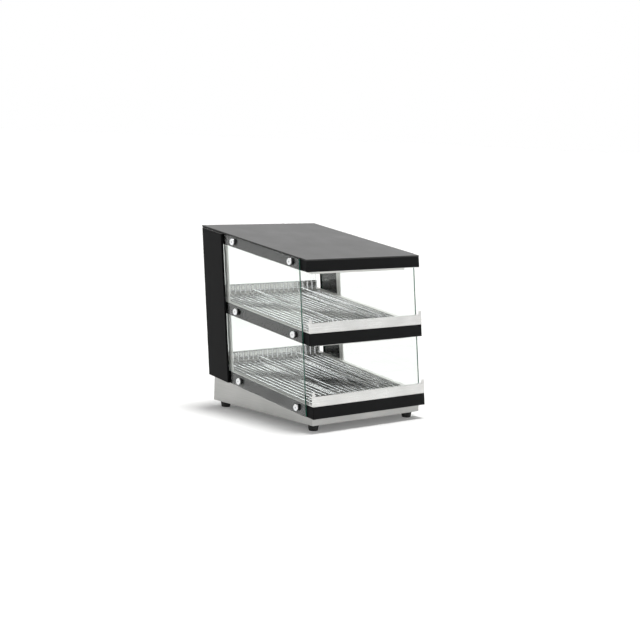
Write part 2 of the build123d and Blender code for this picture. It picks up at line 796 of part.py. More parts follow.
# Side glass with its chrome studs, the columns that cover its rear edge, and the inner posts
stud_places = [
    at(run, level_floor + band_height / 2)
    for level_floor in (0, mid_floor, roof_floor)
    for run in stud_runs
]
glass_rear_run = shelf_depth - glass_rear_setback
glass_top = band_top - glass_top_gap
for side, hand in ((-1, "left"), (1, "right")):
    with BuildPart() as glass:
        with BuildSketch(Plane.YZ.offset(side * glass_inner_x)) as glass_sketch:
            Polygon(*slanted(glass_front_setback, glass_rear_run, 0, glass_top), align=None)
            fillet(glass_sketch.vertices(), glass_corner_radius)
            with Locations(*stud_places):
                Circle(stud_hole_diameter / 2, mode=Mode.SUBTRACT)
        extrude(amount=side * glass_thickness)
    save(glass, f"{hand}_glass")

    with BuildPart() as studs:
        with BuildSketch(Plane.YZ.offset(side * glass_outer_x)):
            with Locations(*stud_places):
                Circle(stud_cap_diameter / 2)
        extrude(amount=side * stud_cap_height)
        with BuildSketch(Plane.YZ.offset(side * (glass_outer_x + stud_cap_height))):
            with Locations(*stud_places):
                Circle(stud_socket_diameter / 2)
        extrude(amount=-side * stud_socket_depth, mode=Mode.SUBTRACT)
        with BuildSketch(Plane.YZ.offset(side * glass_outer_x)):
            with Locations(*stud_places):
                Circle(stud_shank_diameter / 2)
        extrude(amount=-side * (glass_thickness + glass_gap + sheet + stud_end))
    save(studs, f"{hand}_studs")

    column_inner_x = glass_outer_x + column_glass_gap
    column_outer_x = column_inner_x + column_thickness
    with BuildPart() as column:
        with BuildSketch(Plane.YZ.offset(side * column_inner_x)):
            Polygon(*slanted(column_front_run, column_run_end, 0, band_top - column_top_drop), align=None)
        extrude(amount=side * column_thickness)
        outer_face = column.faces().sort_by(Axis.X)[0 if side < 0 else -1]
        fillet(outer_face.edges(), column_edge_radius)
        with BuildSketch(Plane.YZ.offset(side * column_inner_x)):
            Polygon(
                *slanted(column_front_run + sheet, column_run_end - sheet, sheet, band_top - column_top_drop - sheet),
                align=None,
            )
        extrude(amount=side * (column_thickness - sheet), mode=Mode.SUBTRACT)
    save(column, f"{hand}_column")

    with BuildPart() as posts:
        with BuildSketch(Plane.YZ.offset(side * half_width)):
            for level_floor in (0, mid_floor):
                Polygon(
                    *slanted(
                        column_front_run - post_reach,
                        column_front_run - post_reach + post_width,
                        level_floor + band_height,
                        level_floor + tier_pitch,
                    ),
                    align=None,
                )
        extrude(amount=-side * post_thickness)
    save(posts, f"{hand}_posts")

# Rear doors: a glass flap in each opening, hung from pins in two brackets
door_run = shelf_depth - door_rear_setback
for level, floor in (("lower", 0.0), ("upper", mid_floor)):
    opening_top = floor + tier_pitch
    axis_place = at(door_run, opening_top - door_axis_drop)
    pane_bottom = floor + band_height + door_bottom_gap
    pane_half = half_width - door_side_gap
    pane_top = opening_top - door_axis_drop - door_rail_radius + door_pane_entry
    slot_bottom = opening_top - door_axis_drop - 2 * door_rail_radius

    with BuildPart() as door_rail:
        with BuildSketch(Plane.YZ.offset(-pane_half)):
            with Locations(axis_place):
                Circle(door_rail_radius)
        extrude(amount=2 * pane_half)
        with BuildSketch(Plane.YZ.offset(-pane_half)):
            Polygon(
                *slanted(
                    door_run - door_thickness / 2,
                    door_run + door_thickness / 2,
                    slot_bottom,
                    pane_top,
                ),
                align=None,
            )
        extrude(amount=2 * pane_half, mode=Mode.SUBTRACT)
        for side in (-1, 1):
            with BuildSketch(Plane.YZ.offset(side * pane_half)):
                with Locations(axis_place):
                    Circle(door_pin_diameter / 2)
            extrude(amount=side * (bracket_gap + door_pin_length))
    save(door_rail, f"{level}_door_rail")

    with BuildPart() as pane:
        with BuildSketch(Plane.YZ.offset(-pane_half)):
            Polygon(
                *slanted(
                    door_run - door_thickness / 2,
                    door_run + door_thickness / 2,
                    pane_bottom,
                    pane_top,
                ),
                align=None,
            )
        extrude(amount=2 * pane_half)
    save(pane, f"{level}_door_glass")

    # Handle: a channel pressed over the bottom edge of the pane, with a finger ledge
    with BuildPart() as handle:
        with BuildSketch(Plane.YZ.offset(-pane_half)):
            Polygon(
                *slanted(
                    door_run - door_thickness / 2 - handle_wall,
                    door_run + door_thickness / 2 + handle_wall,
                    pane_bottom - handle_floor,
                    pane_bottom + handle_height,
                ),
                align=None,
            )
            Polygon(
                *slanted(
                    door_run + door_thickness / 2,
                    door_run + door_thickness / 2 + handle_reach,
                    pane_bottom + handle_height - handle_wall,
                    pane_bottom + handle_height,
                ),
                align=None,
            )
            Polygon(
                *slanted(
                    door_run - door_thickness / 2,
                    door_run + door_thickness / 2,
                    pane_bottom,
                    pane_bottom + handle_height,
                ),
                align=None,
                mode=Mode.SUBTRACT,
            )
        extrude(amount=2 * pane_half)
    save(handle, f"{level}_door_handle")

    # Brackets: an ear with a pin hole under a flange on the underside of the box above
    with BuildPart() as brackets:
        ear_x = pane_half + bracket_gap
        for side in (-1, 1):
            with BuildSketch(Plane.YZ.offset(side * ear_x)):
                Polygon(
                    *slanted(
                        door_run - bracket_width / 2,
                        door_run + bracket_width / 2,
                        opening_top - door_axis_drop,
                        opening_top,
                    ),
                    align=None,
                )
                with Locations(axis_place):
                    Circle(bracket_width / 2)
                    Circle(door_pin_diameter / 2 + door_pin_clearance, mode=Mode.SUBTRACT)
            extrude(amount=side * bracket_thickness)
    save(brackets, f"{level}_door_brackets")
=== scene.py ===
"""Looks of the heated pass-through display cabinet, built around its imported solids.

X runs to the right of someone facing the open front, Y runs to the rear and Z up. As in the
solids, the side view is a leaning parallelogram, so places are given in millimetres as a "run"
back along the shelf slope and a "rise" up the lean of the uprights. Sizes are in millimetres too,
and only what goes to Blender is in metres.
"""

import logging
from collections.abc import Callable, Iterator, Sequence
from contextlib import contextmanager
from dataclasses import dataclass
from enum import Enum, IntEnum
from functools import cache
from math import cos, inf, pi, radians, tan
from typing import Any

import bmesh
import bpy
from mathutils import Matrix, Vector


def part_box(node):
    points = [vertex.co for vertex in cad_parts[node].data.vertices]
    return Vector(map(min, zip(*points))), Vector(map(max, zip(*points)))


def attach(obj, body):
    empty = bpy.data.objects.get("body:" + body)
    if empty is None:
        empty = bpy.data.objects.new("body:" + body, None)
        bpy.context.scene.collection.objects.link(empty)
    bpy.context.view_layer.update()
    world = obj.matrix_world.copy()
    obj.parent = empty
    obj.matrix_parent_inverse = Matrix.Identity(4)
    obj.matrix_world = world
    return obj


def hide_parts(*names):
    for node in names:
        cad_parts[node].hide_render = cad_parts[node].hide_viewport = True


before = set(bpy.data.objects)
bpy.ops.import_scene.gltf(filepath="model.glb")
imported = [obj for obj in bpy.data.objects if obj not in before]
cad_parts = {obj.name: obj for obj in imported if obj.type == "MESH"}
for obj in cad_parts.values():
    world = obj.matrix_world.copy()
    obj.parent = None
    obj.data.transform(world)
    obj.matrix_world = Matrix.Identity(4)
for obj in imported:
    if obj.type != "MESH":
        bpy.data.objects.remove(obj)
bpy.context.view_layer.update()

LOG = logging.getLogger("cabinet")
MM = 0.001
ROOT_BODY = "cabinet"
LOWER, UPPER = "lower", "upper"
X_AXIS, Y_AXIS, Z_AXIS = Vector((1, 0, 0)), Vector((0, 1, 0)), Vector((0, 0, 1))
EDGE = 0.5  # Rounding of most edges, in millimetres
EDGE_STEPS = 2
BEND_STEPS = 6
WELD = 0.005 * MM  # Corners closer than this are made one
FLAT = radians(1)  # Faces of a solid that turn by less are made one
SHARP = radians(32)  # Edges that turn by more are drawn sharp and can be rounded
SOLID_SHARP = radians(50)  # Edges of a solid's own mesh that turn by more are rounded
SQUARE = 0.99  # A face looks in a direction if more than this share of its normal lies along it

Piece = bpy.types.Object
Tree = bpy.types.NodeTree
Socket = bpy.types.NodeSocket
Span = tuple[float, float]
Test = Callable[[Any], bool]


class Side(Enum):
    """Left or right of the cabinet, with its sign along X."""

    LEFT = -1
    RIGHT = 1

    @property
    def word(self) -> str:
        """The side's name as the solids spell it."""
        return self.name.lower()

    @property
    def out(self) -> Vector:
        """Direction away from the cabinet."""
        return X_AXIS * self.value

    def span(self, near: float, far: float) -> Span:
        """Span along X between two distances from the middle plane."""
        return (near, far) if self is Side.RIGHT else (-far, -near)


class Sides(IntEnum):
    """Faces round a bar, by what it is or how broad it looks in the picture."""

    NUT = 6
    WIRE = 14
    SMALL = 24
    MIDDLING = 32
    BROAD = 40
    LARGE = 48
    KNOB = 60


class Pattern(Enum):
    """How a finish varies over its surface: the stretch of its noise along X, Y and Z."""

    PLAIN = (1.0, 1.0, 1.0)
    BRUSHED_LEVEL = (0.012, 0.012, 1.0)
    BRUSHED_ACROSS = (0.012, 1.0, 1.0)


@dataclass(frozen=True)
class SideView:
    """The leaning side view of the cabinet, in millimetres and degrees."""

    slope_deg: float = 7.2
    lean_deg: float = 7.2
    width: float = 460.0
    depth: float = 500.0
    band: float = 37.5
    pitch: float = 212.0
    sheet: float = 1.5
    fascia: float = 3.0
    lid: float = 4.0
    base_front_top: float = 44.0
    base_setback: float = 15.0

    @property
    def half(self) -> float:
        """Half the width of the shelf boxes."""
        return self.width / 2

    @property
    def across(self) -> Span:
        """Left and right ends of the shelf boxes."""
        return (-self.half, self.half)

    @property
    def roof_floor(self) -> float:
        """Rise of the underside of the roof."""
        return 2 * self.pitch

    @property
    def roof_top(self) -> float:
        """Rise of the top of the roof."""
        return self.roof_floor + self.band

    @property
    def run_dir(self) -> Vector:
        """Direction in which runs grow."""
        return Matrix.Rotation(radians(self.slope_deg), 3, "X") @ Y_AXIS

    @property
    def rise_dir(self) -> Vector:
        """Direction in which rises grow."""
        return Matrix.Rotation(-radians(self.lean_deg), 3, "X") @ Z_AXIS

    @property
    def shelf_normal(self) -> Vector:
        """Direction square to the shelves, upwards."""
        return X_AXIS.cross(self.run_dir)

    @property
    def front_normal(self) -> Vector:
        """Direction square to the leaning front, rearwards."""
        return self.rise_dir.cross(X_AXIS)

    @property
    def corner(self) -> Vector:
        """Front lower edge of the bottom shelf box, in metres."""
        reach = self.depth * self.run_dir.y + self.roof_top * self.rise_dir.y
        drop = self.base_setback * tan(radians(self.slope_deg))
        return Vector((0, -reach / 2, self.base_front_top - drop)) * MM

    def at(self, run: float, rise: float, x: float = 0.0) -> Vector:
        """Turn a run, a rise and a distance to the right into a place in metres."""
        return self.corner + (self.run_dir * run + self.rise_dir * rise + X_AXIS * x) * MM

    def spot(self, place: Vector) -> tuple[float, float, float]:
        """Turn a place back into millimetres.

        Args:
            place: The place, in metres.

        Returns:
            Its distance from the middle plane, its run and its rise.
        """
        off = (place - self.corner) / MM
        run = off.dot(self.front_normal) / self.run_dir.dot(self.front_normal)
        return abs(off.x), run, off.dot(self.shelf_normal) / self.rise_dir.dot(self.shelf_normal)


VIEW = SideView()


# Finishes


def linear(code: str) -> tuple[float, float, float, float]:
    """Turn an sRGB hex colour into linear values.

    Args:
        code: Six hex digits after a hash sign.

    Returns:
        Linear red, green, blue and full alpha.
    """
    values = [int(code[i : i + 2], 16) / 255 for i in (1, 3, 5)]
    red, green, blue = (v / 12.92 if v <= 0.04045 else ((v + 0.055) / 1.055) ** 2.4 for v in values)
    return (red, green, blue, 1.0)


def add_node(
    tree: Tree, kind: str, inputs: dict[str | int, Any] | None = None, **settings: Any
) -> bpy.types.Node:
    """Add a node with its settings and links.

    Args:
        tree: The node tree that gets the node.
        kind: Blender's type name of the node.
        inputs: Values or output sockets for the node's inputs, by name or number.
        settings: Properties of the node itself.

    Returns:
        The new node.
    """
    node = tree.nodes.new(kind)
    for key, value in settings.items():
        setattr(node, key, value)
    for key, value in (inputs or {}).items():
        if isinstance(value, Socket):
            tree.links.new(value, node.inputs[key])
        else:
            node.inputs[key].default_value = value
    return node


def noise(tree: Tree, place: Socket, size_mm: float, detail: float = 2.0) -> Socket:
    """Add a noise of a given size in millimetres."""
    inputs = {"Vector": place, "Scale": 1 / (size_mm * MM), "Detail": detail}
    return add_node(tree, "ShaderNodeTexNoise", inputs).outputs["Fac"]


def ranged(tree: Tree, value: Socket, to: Span, source: Span = (0.0, 1.0)) -> Socket:
    """Stretch a value from its source range to another range."""
    ends = zip(("From Min", "From Max", "To Min", "To Max"), (*source, *to))
    return add_node(tree, "ShaderNodeMapRange", {"Value": value, **dict(ends)}).outputs[0]


def empty_material(name: str) -> tuple[bpy.types.Material, Tree]:
    """Make a material whose node tree is still empty.

    Args:
        name: Name of the material.

    Returns:
        The material and its node tree.
    """
    material = bpy.data.materials.new(name)
    material.use_nodes = True
    material.node_tree.nodes.clear()
    return material, material.node_tree


@dataclass(frozen=True)
class Surface:
    """A solid finish: a fine grain and a broad cloud mix two colours and drive the roughness."""

    name: str
    dark: str
    light: str
    rough: Span
    metallic: float = 0.0
    grain_mm: float = 1.0
    bump_mm: float = 0.0
    pattern: Pattern = Pattern.PLAIN
    cloud_mm: float = 90.0
    coat: float = 0.0
    glow: float = 0.0
    transmission: float = 0.0
    specular: float = 0.5
    grain_detail: float = 3.0
    grain_share: float = 0.8
    noise_range: Span = (0.6, 1.2)

    def build(self) -> bpy.types.Material:
        """Build the finish as nodes.

        Returns:
            The material.
        """
        material, tree = empty_material(self.name)
        place = add_node(tree, "ShaderNodeTexCoord").outputs["Object"]
        stretched = add_node(tree, "ShaderNodeMapping", {"Vector": place, "Scale": self.pattern.value})
        grain = noise(tree, stretched.outputs["Vector"], self.grain_mm, self.grain_detail)
        cloud = noise(tree, place, self.cloud_mm)
        mix_inputs = {0: grain, 1: self.grain_share, 2: cloud}
        both = add_node(tree, "ShaderNodeMath", mix_inputs, operation="MULTIPLY_ADD").outputs[0]
        share = ranged(tree, both, (0.0, 1.0), self.noise_range)
        colour_inputs = {0: share, 6: linear(self.dark), 7: linear(self.light)}
        shader_inputs = {
            "Base Color": add_node(tree, "ShaderNodeMix", colour_inputs, data_type="RGBA").outputs[2],
            "Roughness": ranged(tree, share, self.rough),
            "Metallic": self.metallic,
            "Coat Weight": self.coat,
            "Transmission Weight": self.transmission,
            "Specular IOR Level": self.specular,
            "Emission Strength": self.glow,
            "Emission Color": linear(self.light),
        }
        if self.bump_mm:
            bump_inputs = {"Height": grain, "Distance": self.bump_mm * MM}
            shader_inputs["Normal"] = add_node(tree, "ShaderNodeBump", bump_inputs).outputs["Normal"]
        shader = add_node(tree, "ShaderNodeBsdfPrincipled", shader_inputs).outputs["BSDF"]
        add_node(tree, "ShaderNodeOutputMaterial", {"Surface": shader})
        return material


@dataclass(frozen=True)
class Glass:
    """Clear glass that lets lamplight through without a dark shadow."""

    name: str
    tint: str
    rough: Span
    ior: float = 1.52
    smear_mm: float = 60.0

    def build(self) -> bpy.types.Material:
        """Build the glass as nodes.

        Returns:
            The material.
        """
        material, tree = empty_material(self.name)
        place = add_node(tree, "ShaderNodeTexCoord").outputs["Object"]
        pane_inputs = {
            "Base Color": linear(self.tint),
            "Roughness": ranged(tree, noise(tree, place, self.smear_mm), self.rough),
            "IOR": self.ior,
            "Transmission Weight": 1.0,
        }
        pane = add_node(tree, "ShaderNodeBsdfPrincipled", pane_inputs).outputs["BSDF"]
        clear = add_node(tree, "ShaderNodeBsdfTransparent", {"Color": linear(self.tint)}).outputs["BSDF"]
        shadow_ray = add_node(tree, "ShaderNodeLightPath").outputs["Is Shadow Ray"]
        mixed = add_node(tree, "ShaderNodeMixShader", {0: shadow_ray, 1: pane, 2: clear}).outputs["Shader"]
        add_node(tree, "ShaderNodeOutputMaterial", {"Surface": mixed})
        return material


class Finish(Enum):
    """Every finish on the cabinet. Grains too fine for the picture are drawn up to 2 mm wide."""

    # Polyester powder, sprayed and baked: satin, near black, and its orange peel softens reflections
    POWDER = Surface(
        "satin_black_powder_coat", "#08090a", "#0f1011", (0.36, 0.46),
        grain_mm=1.6, bump_mm=0.05, specular=0.1,
    )
    # Baked enamel on the lid: smoother, so it carries a broad grey sheen. On the column tops it is a painted
    # highlight: its paler, glossier finish stands in for the light line along their top edges
    ENAMEL = Surface(
        "satin_black_enamel", "#191919", "#20201f", (0.3, 0.36),
        grain_mm=2.0, bump_mm=0.02, specular=0.4,
    )
    # Stainless sheet with a long level grain: soft streaks along every upright wall
    BRUSHED = Surface(
        "brushed_stainless_steel", "#9c9c9a", "#b4b4b2", (0.3, 0.42),
        metallic=1.0, grain_mm=1.2, bump_mm=0.02, pattern=Pattern.BRUSHED_LEVEL, cloud_mm=160.0,
    )
    # Cold rolled bright stainless: paler and tighter than the brushed sheet, grained across the shelf
    BRIGHT = Surface(
        "bright_rolled_stainless_steel", "#cfcfcd", "#e2e2e0", (0.2, 0.3),
        metallic=1.0, bump_mm=0.01, pattern=Pattern.BRUSHED_ACROSS,
    )
    # Dull rolled stainless: pale and even, with only a vague reflection
    SATIN = Surface(
        "dull_rolled_stainless_steel", "#d6d6d3", "#e6e6e3", (0.46, 0.58),
        metallic=1.0, grain_mm=2.0, bump_mm=0.02,
    )
    # Bright nickel and chromium plate: a hard mirror with faint polishing haze
    CHROME = Surface("chrome_plate", "#d6d7d8", "#e8e9ea", (0.05, 0.12), metallic=1.0, grain_mm=2.0)
    # Moulded rubber: dull, dark and very slightly pebbled
    RUBBER = Surface("moulded_rubber", "#161616", "#202020", (0.6, 0.75), grain_mm=0.8, bump_mm=0.05)
    # Moulded nylon with a spark eroded texture: dark with a soft sheen on its edges
    NYLON = Surface("moulded_nylon", "#17181a", "#222326", (0.42, 0.55), grain_mm=0.7, bump_mm=0.03)
    # Extruded aluminium in white enamel, for the lighting strips
    WHITE_ENAMEL = Surface("white_enamelled_aluminium", "#e3e3e0", "#efefec", (0.3, 0.4), grain_mm=1.5)
    # Opal acrylic: milky, with an even glow from the strip behind it
    OPAL = Surface("opal_acrylic", "#f2f1ea", "#fffdf5", (0.25, 0.35), glow=0.6)
    # Amber polycarbonate: clear colour, glossy dome
    AMBER = Surface("amber_polycarbonate", "#c9701c", "#e08a2c", (0.08, 0.14), transmission=0.35, coat=0.3)
    # Silicone rubber with moulded in wires: brick red and matt
    SILICONE = Surface("silicone_heater_mat", "#7d3324", "#96402e", (0.6, 0.7), grain_mm=1.2, bump_mm=0.1)
    # Pressed mineral wool: straw coloured fibres, fully matt
    WOOL = Surface(
        "mineral_wool_board", "#b4a987", "#d6cdb0", (0.9, 1.0),
        grain_mm=1.5, bump_mm=0.4, pattern=Pattern.BRUSHED_ACROSS,
    )
    # Zinc plate on small screws: cool grey, half bright
    ZINC = Surface("zinc_plate", "#a4a8ab", "#c0c4c7", (0.25, 0.4), metallic=1.0, grain_mm=0.8)
    # Screen printed ink, matt and white
    INK = Surface("white_screen_print", "#dcdcd8", "#ececea", (0.5, 0.6), grain_mm=0.6)
    # Ground and polished edge of float glass: light gathers there and shows its green
    GLASS_EDGE = Surface(
        "polished_float_glass_edge", "#173a2f", "#3f7c68", (0.08, 0.2),
        grain_mm=1.2, cloud_mm=14.0, coat=0.5,
    )
    # Toughened float glass: clear, a trace of green, sharp reflections
    CLEAR = Glass("toughened_float_glass", "#fafdfb", (0.0, 0.02))


@cache
def material_of(finish: Finish) -> bpy.types.Material:
    """Build a finish once and hand out the same material afterwards."""
    return finish.value.build()


# Modelling steps


def deselect_all() -> None:
    """Deselect every object, the solids among them."""
    bpy.ops.object.select_all(action="DESELECT")


def choose(*pieces: Piece) -> None:
    """Select only some pieces and make the first one active.

    Args:
        pieces: The pieces.
    """
    deselect_all()
    for piece in pieces:
        piece.select_set(True)
    bpy.context.view_layer.objects.active = pieces[0]


def keep_place(name: str) -> Piece:
    """Name the active piece and its mesh, and move its place, turn and scale into the mesh.

    Args:
        name: The name.

    Returns:
        The piece, at the origin.
    """
    piece = bpy.context.active_object
    piece.name = piece.data.name = name
    choose(piece)
    bpy.ops.object.transform_apply(location=True, rotation=True, scale=True)
    return piece


@contextmanager
def editing(piece: Piece, kind: str = "FACE") -> Iterator[None]:
    """Open a piece in edit mode with nothing selected, and leave edit mode at the end.

    Args:
        piece: The piece to edit.
        kind: Blender's select mode, FACE or EDGE.

    Yields:
        Nothing. The piece is in edit mode meanwhile.
    """
    choose(piece)
    bpy.ops.object.mode_set(mode="EDIT")
    bpy.ops.mesh.select_mode(type=kind)
    bpy.ops.mesh.select_all(action="DESELECT")
    yield
    bpy.ops.object.mode_set(mode="OBJECT")


def pick(piece: Piece, test: Test) -> None:
    """Select the faces or edges that pass a test, by the select mode in force.

    Args:
        piece: The piece in edit mode.
        test: Says of a face or an edge whether it is wanted.
    """
    mesh = bmesh.from_edit_mesh(piece.data)
    edges = bpy.context.tool_settings.mesh_select_mode[1]
    for item in mesh.edges if edges else mesh.faces:
        item.select_set(test(item))
    mesh.select_flush_mode()
    bmesh.update_edit_mesh(piece.data)


def facing(direction: Vector, share: float = SQUARE) -> Test:
    """Make a test for the faces whose normal has more than a share of it in a direction."""
    return lambda face: face.normal.dot(direction) > share


def within(
    direction: Vector | None = None, x: float = 0.0, run: Span = (-inf, inf), rise: Span = (-inf, inf)
) -> Test:
    """Make a test for the faces or edges whose middle lies in a region.

    Args:
        direction: Where a wanted face looks, or None if that doesn't matter.
        x: Least distance from the middle plane, in millimetres.
        run: Lowest and highest run.
        rise: Lowest and highest rise.

    Returns:
        The test.
    """
    spans = ((x, inf), run, rise)

    def test(item: bmesh.types.BMFace | bmesh.types.BMEdge) -> bool:
        """Say whether a face or an edge lies in the region."""
        if direction is not None and not facing(direction)(item):
            return False
        middle = sum((vert.co for vert in item.verts), Vector()) / len(item.verts)
        return all(low <= value <= high for value, (low, high) in zip(VIEW.spot(middle), spans))

    return test


def at_end(piece: Piece, axis: Vector) -> Test:
    """Make a test for the edges within half a millimetre of a piece's end along an axis."""
    reach = max(vert.co.dot(axis) for vert in piece.data.vertices) - MM / 2
    return lambda edge: min(vert.co.dot(axis) for vert in edge.verts) > reach


def push(move: Vector) -> None:
    """Extrude the selected faces by a move in millimetres."""
    bpy.ops.mesh.extrude_region_move(TRANSFORM_OT_translate={"value": move * MM})


def pull(piece: Piece, test: Test, move: Vector, rim: float = 0.0) -> None:
    """Extrude some faces of a piece, in or out.

    Args:
        piece: The piece.
        test: Says of a face whether it is wanted.
        move: The way that they go, in millimetres.
        rim: Width of the rim that is left round them, in millimetres.
    """
    with editing(piece):
        pick(piece, test)
        if rim:
            bpy.ops.mesh.inset(thickness=rim * MM, use_even_offset=True)
        push(move)


def block(name: str, x_span: Span, runs: Span, rises: Span, up: Vector | None = None) -> Piece:
    """Model a leaning block: a plane on the shelf slope, extruded up the lean.

    Args:
        name: Name of the piece.
        x_span: Left and right ends, in millimetres.
        runs: Front and rear ends.
        rises: Lower and upper ends.
        up: Direction of the extrusion, if it isn't up the lean.

    Returns:
        The block.
    """
    deselect_all()
    place = VIEW.at(sum(runs) / 2, rises[0], sum(x_span) / 2)
    bpy.ops.mesh.primitive_plane_add(size=MM, location=place, rotation=(radians(VIEW.slope_deg), 0, 0))
    bpy.context.active_object.scale = (x_span[1] - x_span[0], runs[1] - runs[0], 1)
    piece = keep_place(name)
    with editing(piece):
        bpy.ops.mesh.select_all(action="SELECT")
        push((VIEW.rise_dir if up is None else up) * (rises[1] - rises[0]))
        bpy.ops.mesh.select_all(action="SELECT")
        bpy.ops.mesh.normals_make_consistent(inside=False)
    return piece


def bar(name: str, place: Sequence[float], size: Sequence[float], turn: float = 0.0) -> Piece:
    """Model a small square bar.

    Args:
        name: Name of the bar.
        place: Its middle, in metres.
        size: Its size along X, Y and Z, in metres, before its turn.
        turn: Its turn about Y, in radians.

    Returns:
        The bar.
    """
    deselect_all()
    bpy.ops.mesh.primitive_cube_add(size=1, location=place, rotation=(0, turn, 0))
    bpy.context.active_object.scale = size
    return keep_place(name)


def cylinder(
    name: str,
    start: Vector,
    axis: Vector,
    radius: float,
    length: float,
    sides: Sides,
    tip: float | None = None,
) -> Piece:
    """Model a round or tapered bar.

    Args:
        name: Name of the piece.
        start: Middle of its first end, in metres.
        axis: Direction along it.
        radius: Radius at its start, in millimetres.
        length: Length, in millimetres.
        sides: Number of faces round it.
        tip: Radius at its end, if it tapers.

    Returns:
        The bar.
    """
    deselect_all()
    bpy.ops.mesh.primitive_cone_add(
        vertices=sides,
        radius1=radius * MM,
        radius2=(radius if tip is None else tip) * MM,
        depth=length * MM,
        location=start + axis * length / 2 * MM,
        rotation=axis.to_track_quat("Z", "Y").to_euler(),
    )
    return keep_place(name)


def round_edges(
    piece: Piece, width: float = EDGE, test: Test | None = None, steps: int = EDGE_STEPS
) -> None:
    """Round sharp edges of a piece.

    Args:
        piece: The piece.
        width: Width of the rounding, in millimetres.
        test: Says of an edge whether it is rounded, or None for every sharp edge.
        steps: Faces across the rounding.
    """
    with editing(piece, "EDGE"):
        pick(piece, lambda edge: edge.calc_face_angle(0) > SHARP and (test is None or test(edge)))
        bpy.ops.mesh.bevel(offset=width * MM, segments=steps, affect="EDGES", clamp_overlap=True)


def slice_at(piece: Piece, places: Sequence[Vector], normal: Vector) -> None:
    """Cut a piece's faces along parallel planes, and keep both sides.

    Args:
        piece: The piece.
        places: A point of each plane, in metres.
        normal: Direction square to the planes.
    """
    with editing(piece):
        for place in places:
            bpy.ops.mesh.select_all(action="SELECT")
            bpy.ops.mesh.bisect(plane_co=place, plane_no=normal)


def copy_of(piece: Piece, name: str, move: Vector) -> Piece:
    """Copy a piece with its own mesh.

    Args:
        piece: The piece to copy.
        name: Name of the copy.
        move: How far the copy is moved, in metres.

    Returns:
        The copy.
    """
    choose(piece)
    bpy.ops.object.duplicate(linked=False)
    bpy.ops.transform.translate(value=move)
    return keep_place(name)


def joined(name: str, pieces: Sequence[Piece], moves: Sequence[Vector] = ()) -> Piece:
    """Join pieces, and copies of them at other places, into one.

    Args:
        name: Name of the joined piece.
        pieces: The pieces, which the joined one takes up.
        moves: How far each set of copies is moved, in metres.

    Returns:
        The joined piece.
    """
    copies = [copy_of(piece, f"{piece.name}_copy", move) for move in moves for piece in pieces]
    choose(*pieces, *copies)
    bpy.ops.object.join()
    return keep_place(name)


def modify(piece: Piece, kind: str, **settings: Any) -> None:
    """Add a modifier to a piece and apply it.

    Args:
        piece: The piece.
        kind: Blender's type name of the modifier.
        settings: Properties of the modifier.
    """
    modifier = piece.modifiers.new(kind, kind)
    for key, value in settings.items():
        setattr(modifier, key, value)
    choose(piece)
    bpy.ops.object.modifier_apply(modifier=modifier.name)


def bent_wire(name: str, points: Sequence[Vector], radius: float, bend: float, closed: bool = False) -> Piece:
    """Model a bent wire: a disc extruded along the straight runs and spun round the bends.

    Args:
        name: Name of the wire.
        points: Corners of its path, in metres. A closed path starts inside a straight run.
        radius: Radius of the wire, in millimetres.
        bend: Radius of the bends at its middle line, in millimetres.
        closed: True if the last point meets the first.

    Returns:
        The wire.
    """
    deselect_all()
    here = points[0]
    bpy.ops.mesh.primitive_circle_add(
        vertices=Sides.WIRE,
        radius=radius * MM,
        fill_type="NGON",
        location=here,
        rotation=(points[1] - here).to_track_quat("Z", "Y").to_euler(),
    )
    wire = keep_place(name)
    with editing(wire):
        bpy.ops.mesh.select_all(action="SELECT")
        for corner, after in zip(points[1:-1], points[2:]):
            into, out = (corner - here).normalized(), (after - corner).normalized()
            turn, axis = into.angle(out), into.cross(out).normalized()
            cut_back = bend * MM * tan(turn / 2)
            push((corner - into * cut_back - here) / MM)
            centre = corner - into * cut_back + axis.cross(into) * bend * MM
            bpy.ops.mesh.spin(steps=BEND_STEPS, angle=-turn, center=centre, axis=axis)
            here = corner + out * cut_back
        push((points[-1] - here) / MM)
        if closed:
            pick(wire, lambda face: len(face.verts) == Sides.WIRE)
            bpy.ops.mesh.delete(type="FACE")
        bpy.ops.mesh.select_all(action="SELECT")
        bpy.ops.mesh.remove_doubles(threshold=WELD)
        bpy.ops.mesh.normals_make_consistent(inside=False)
    return wire


def rod(name: str, place: Vector, half: float, radius: float) -> Piece:
    """Model a wire that lies across the cabinet, with rounded ends.

    Args:
        name: Name of the wire.
        place: Its middle, in metres.
        half: Half its length, in millimetres.
        radius: Its radius, in millimetres.

    Returns:
        The wire.
    """
    wire = cylinder(name, place - X_AXIS * half * MM, X_AXIS, radius, 2 * half, Sides.WIRE)
    round_edges(wire, radius / 2)
    return wire


# Pieces in the frame


@dataclass(frozen=True)
class Made:
    """A finished piece, with the solid that it belongs to and the body that it rides on."""

    piece: Piece
    node: str
    body: str
    extra: bool

    def settle(self) -> "Made":
        """Put the piece on its body, in place of its solid unless it is an extra.

        Returns:
            The same piece.
        """
        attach(self.piece, self.body)
        if not self.extra:
            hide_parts(self.node)
        LOG.info("%s: %s, %d faces", self.piece.name, self.body, len(self.piece.data.polygons))
        return self

    def twin(self, old: str, new: str) -> "Made":
        """Copy the piece, with its own mesh, to where the solid of its twin stands.

        Args:
            old: Word in the names of the piece, its solid and its body.
            new: Word that takes its place for the twin.

        Returns:
            The twin.
        """
        node = self.node.replace(old, new)
        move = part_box(node)[0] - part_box(self.node)[0]
        copy = copy_of(self.piece, self.piece.name.replace(old, new), move)
        return Made(copy, node, self.body.replace(old, new), self.extra).settle()


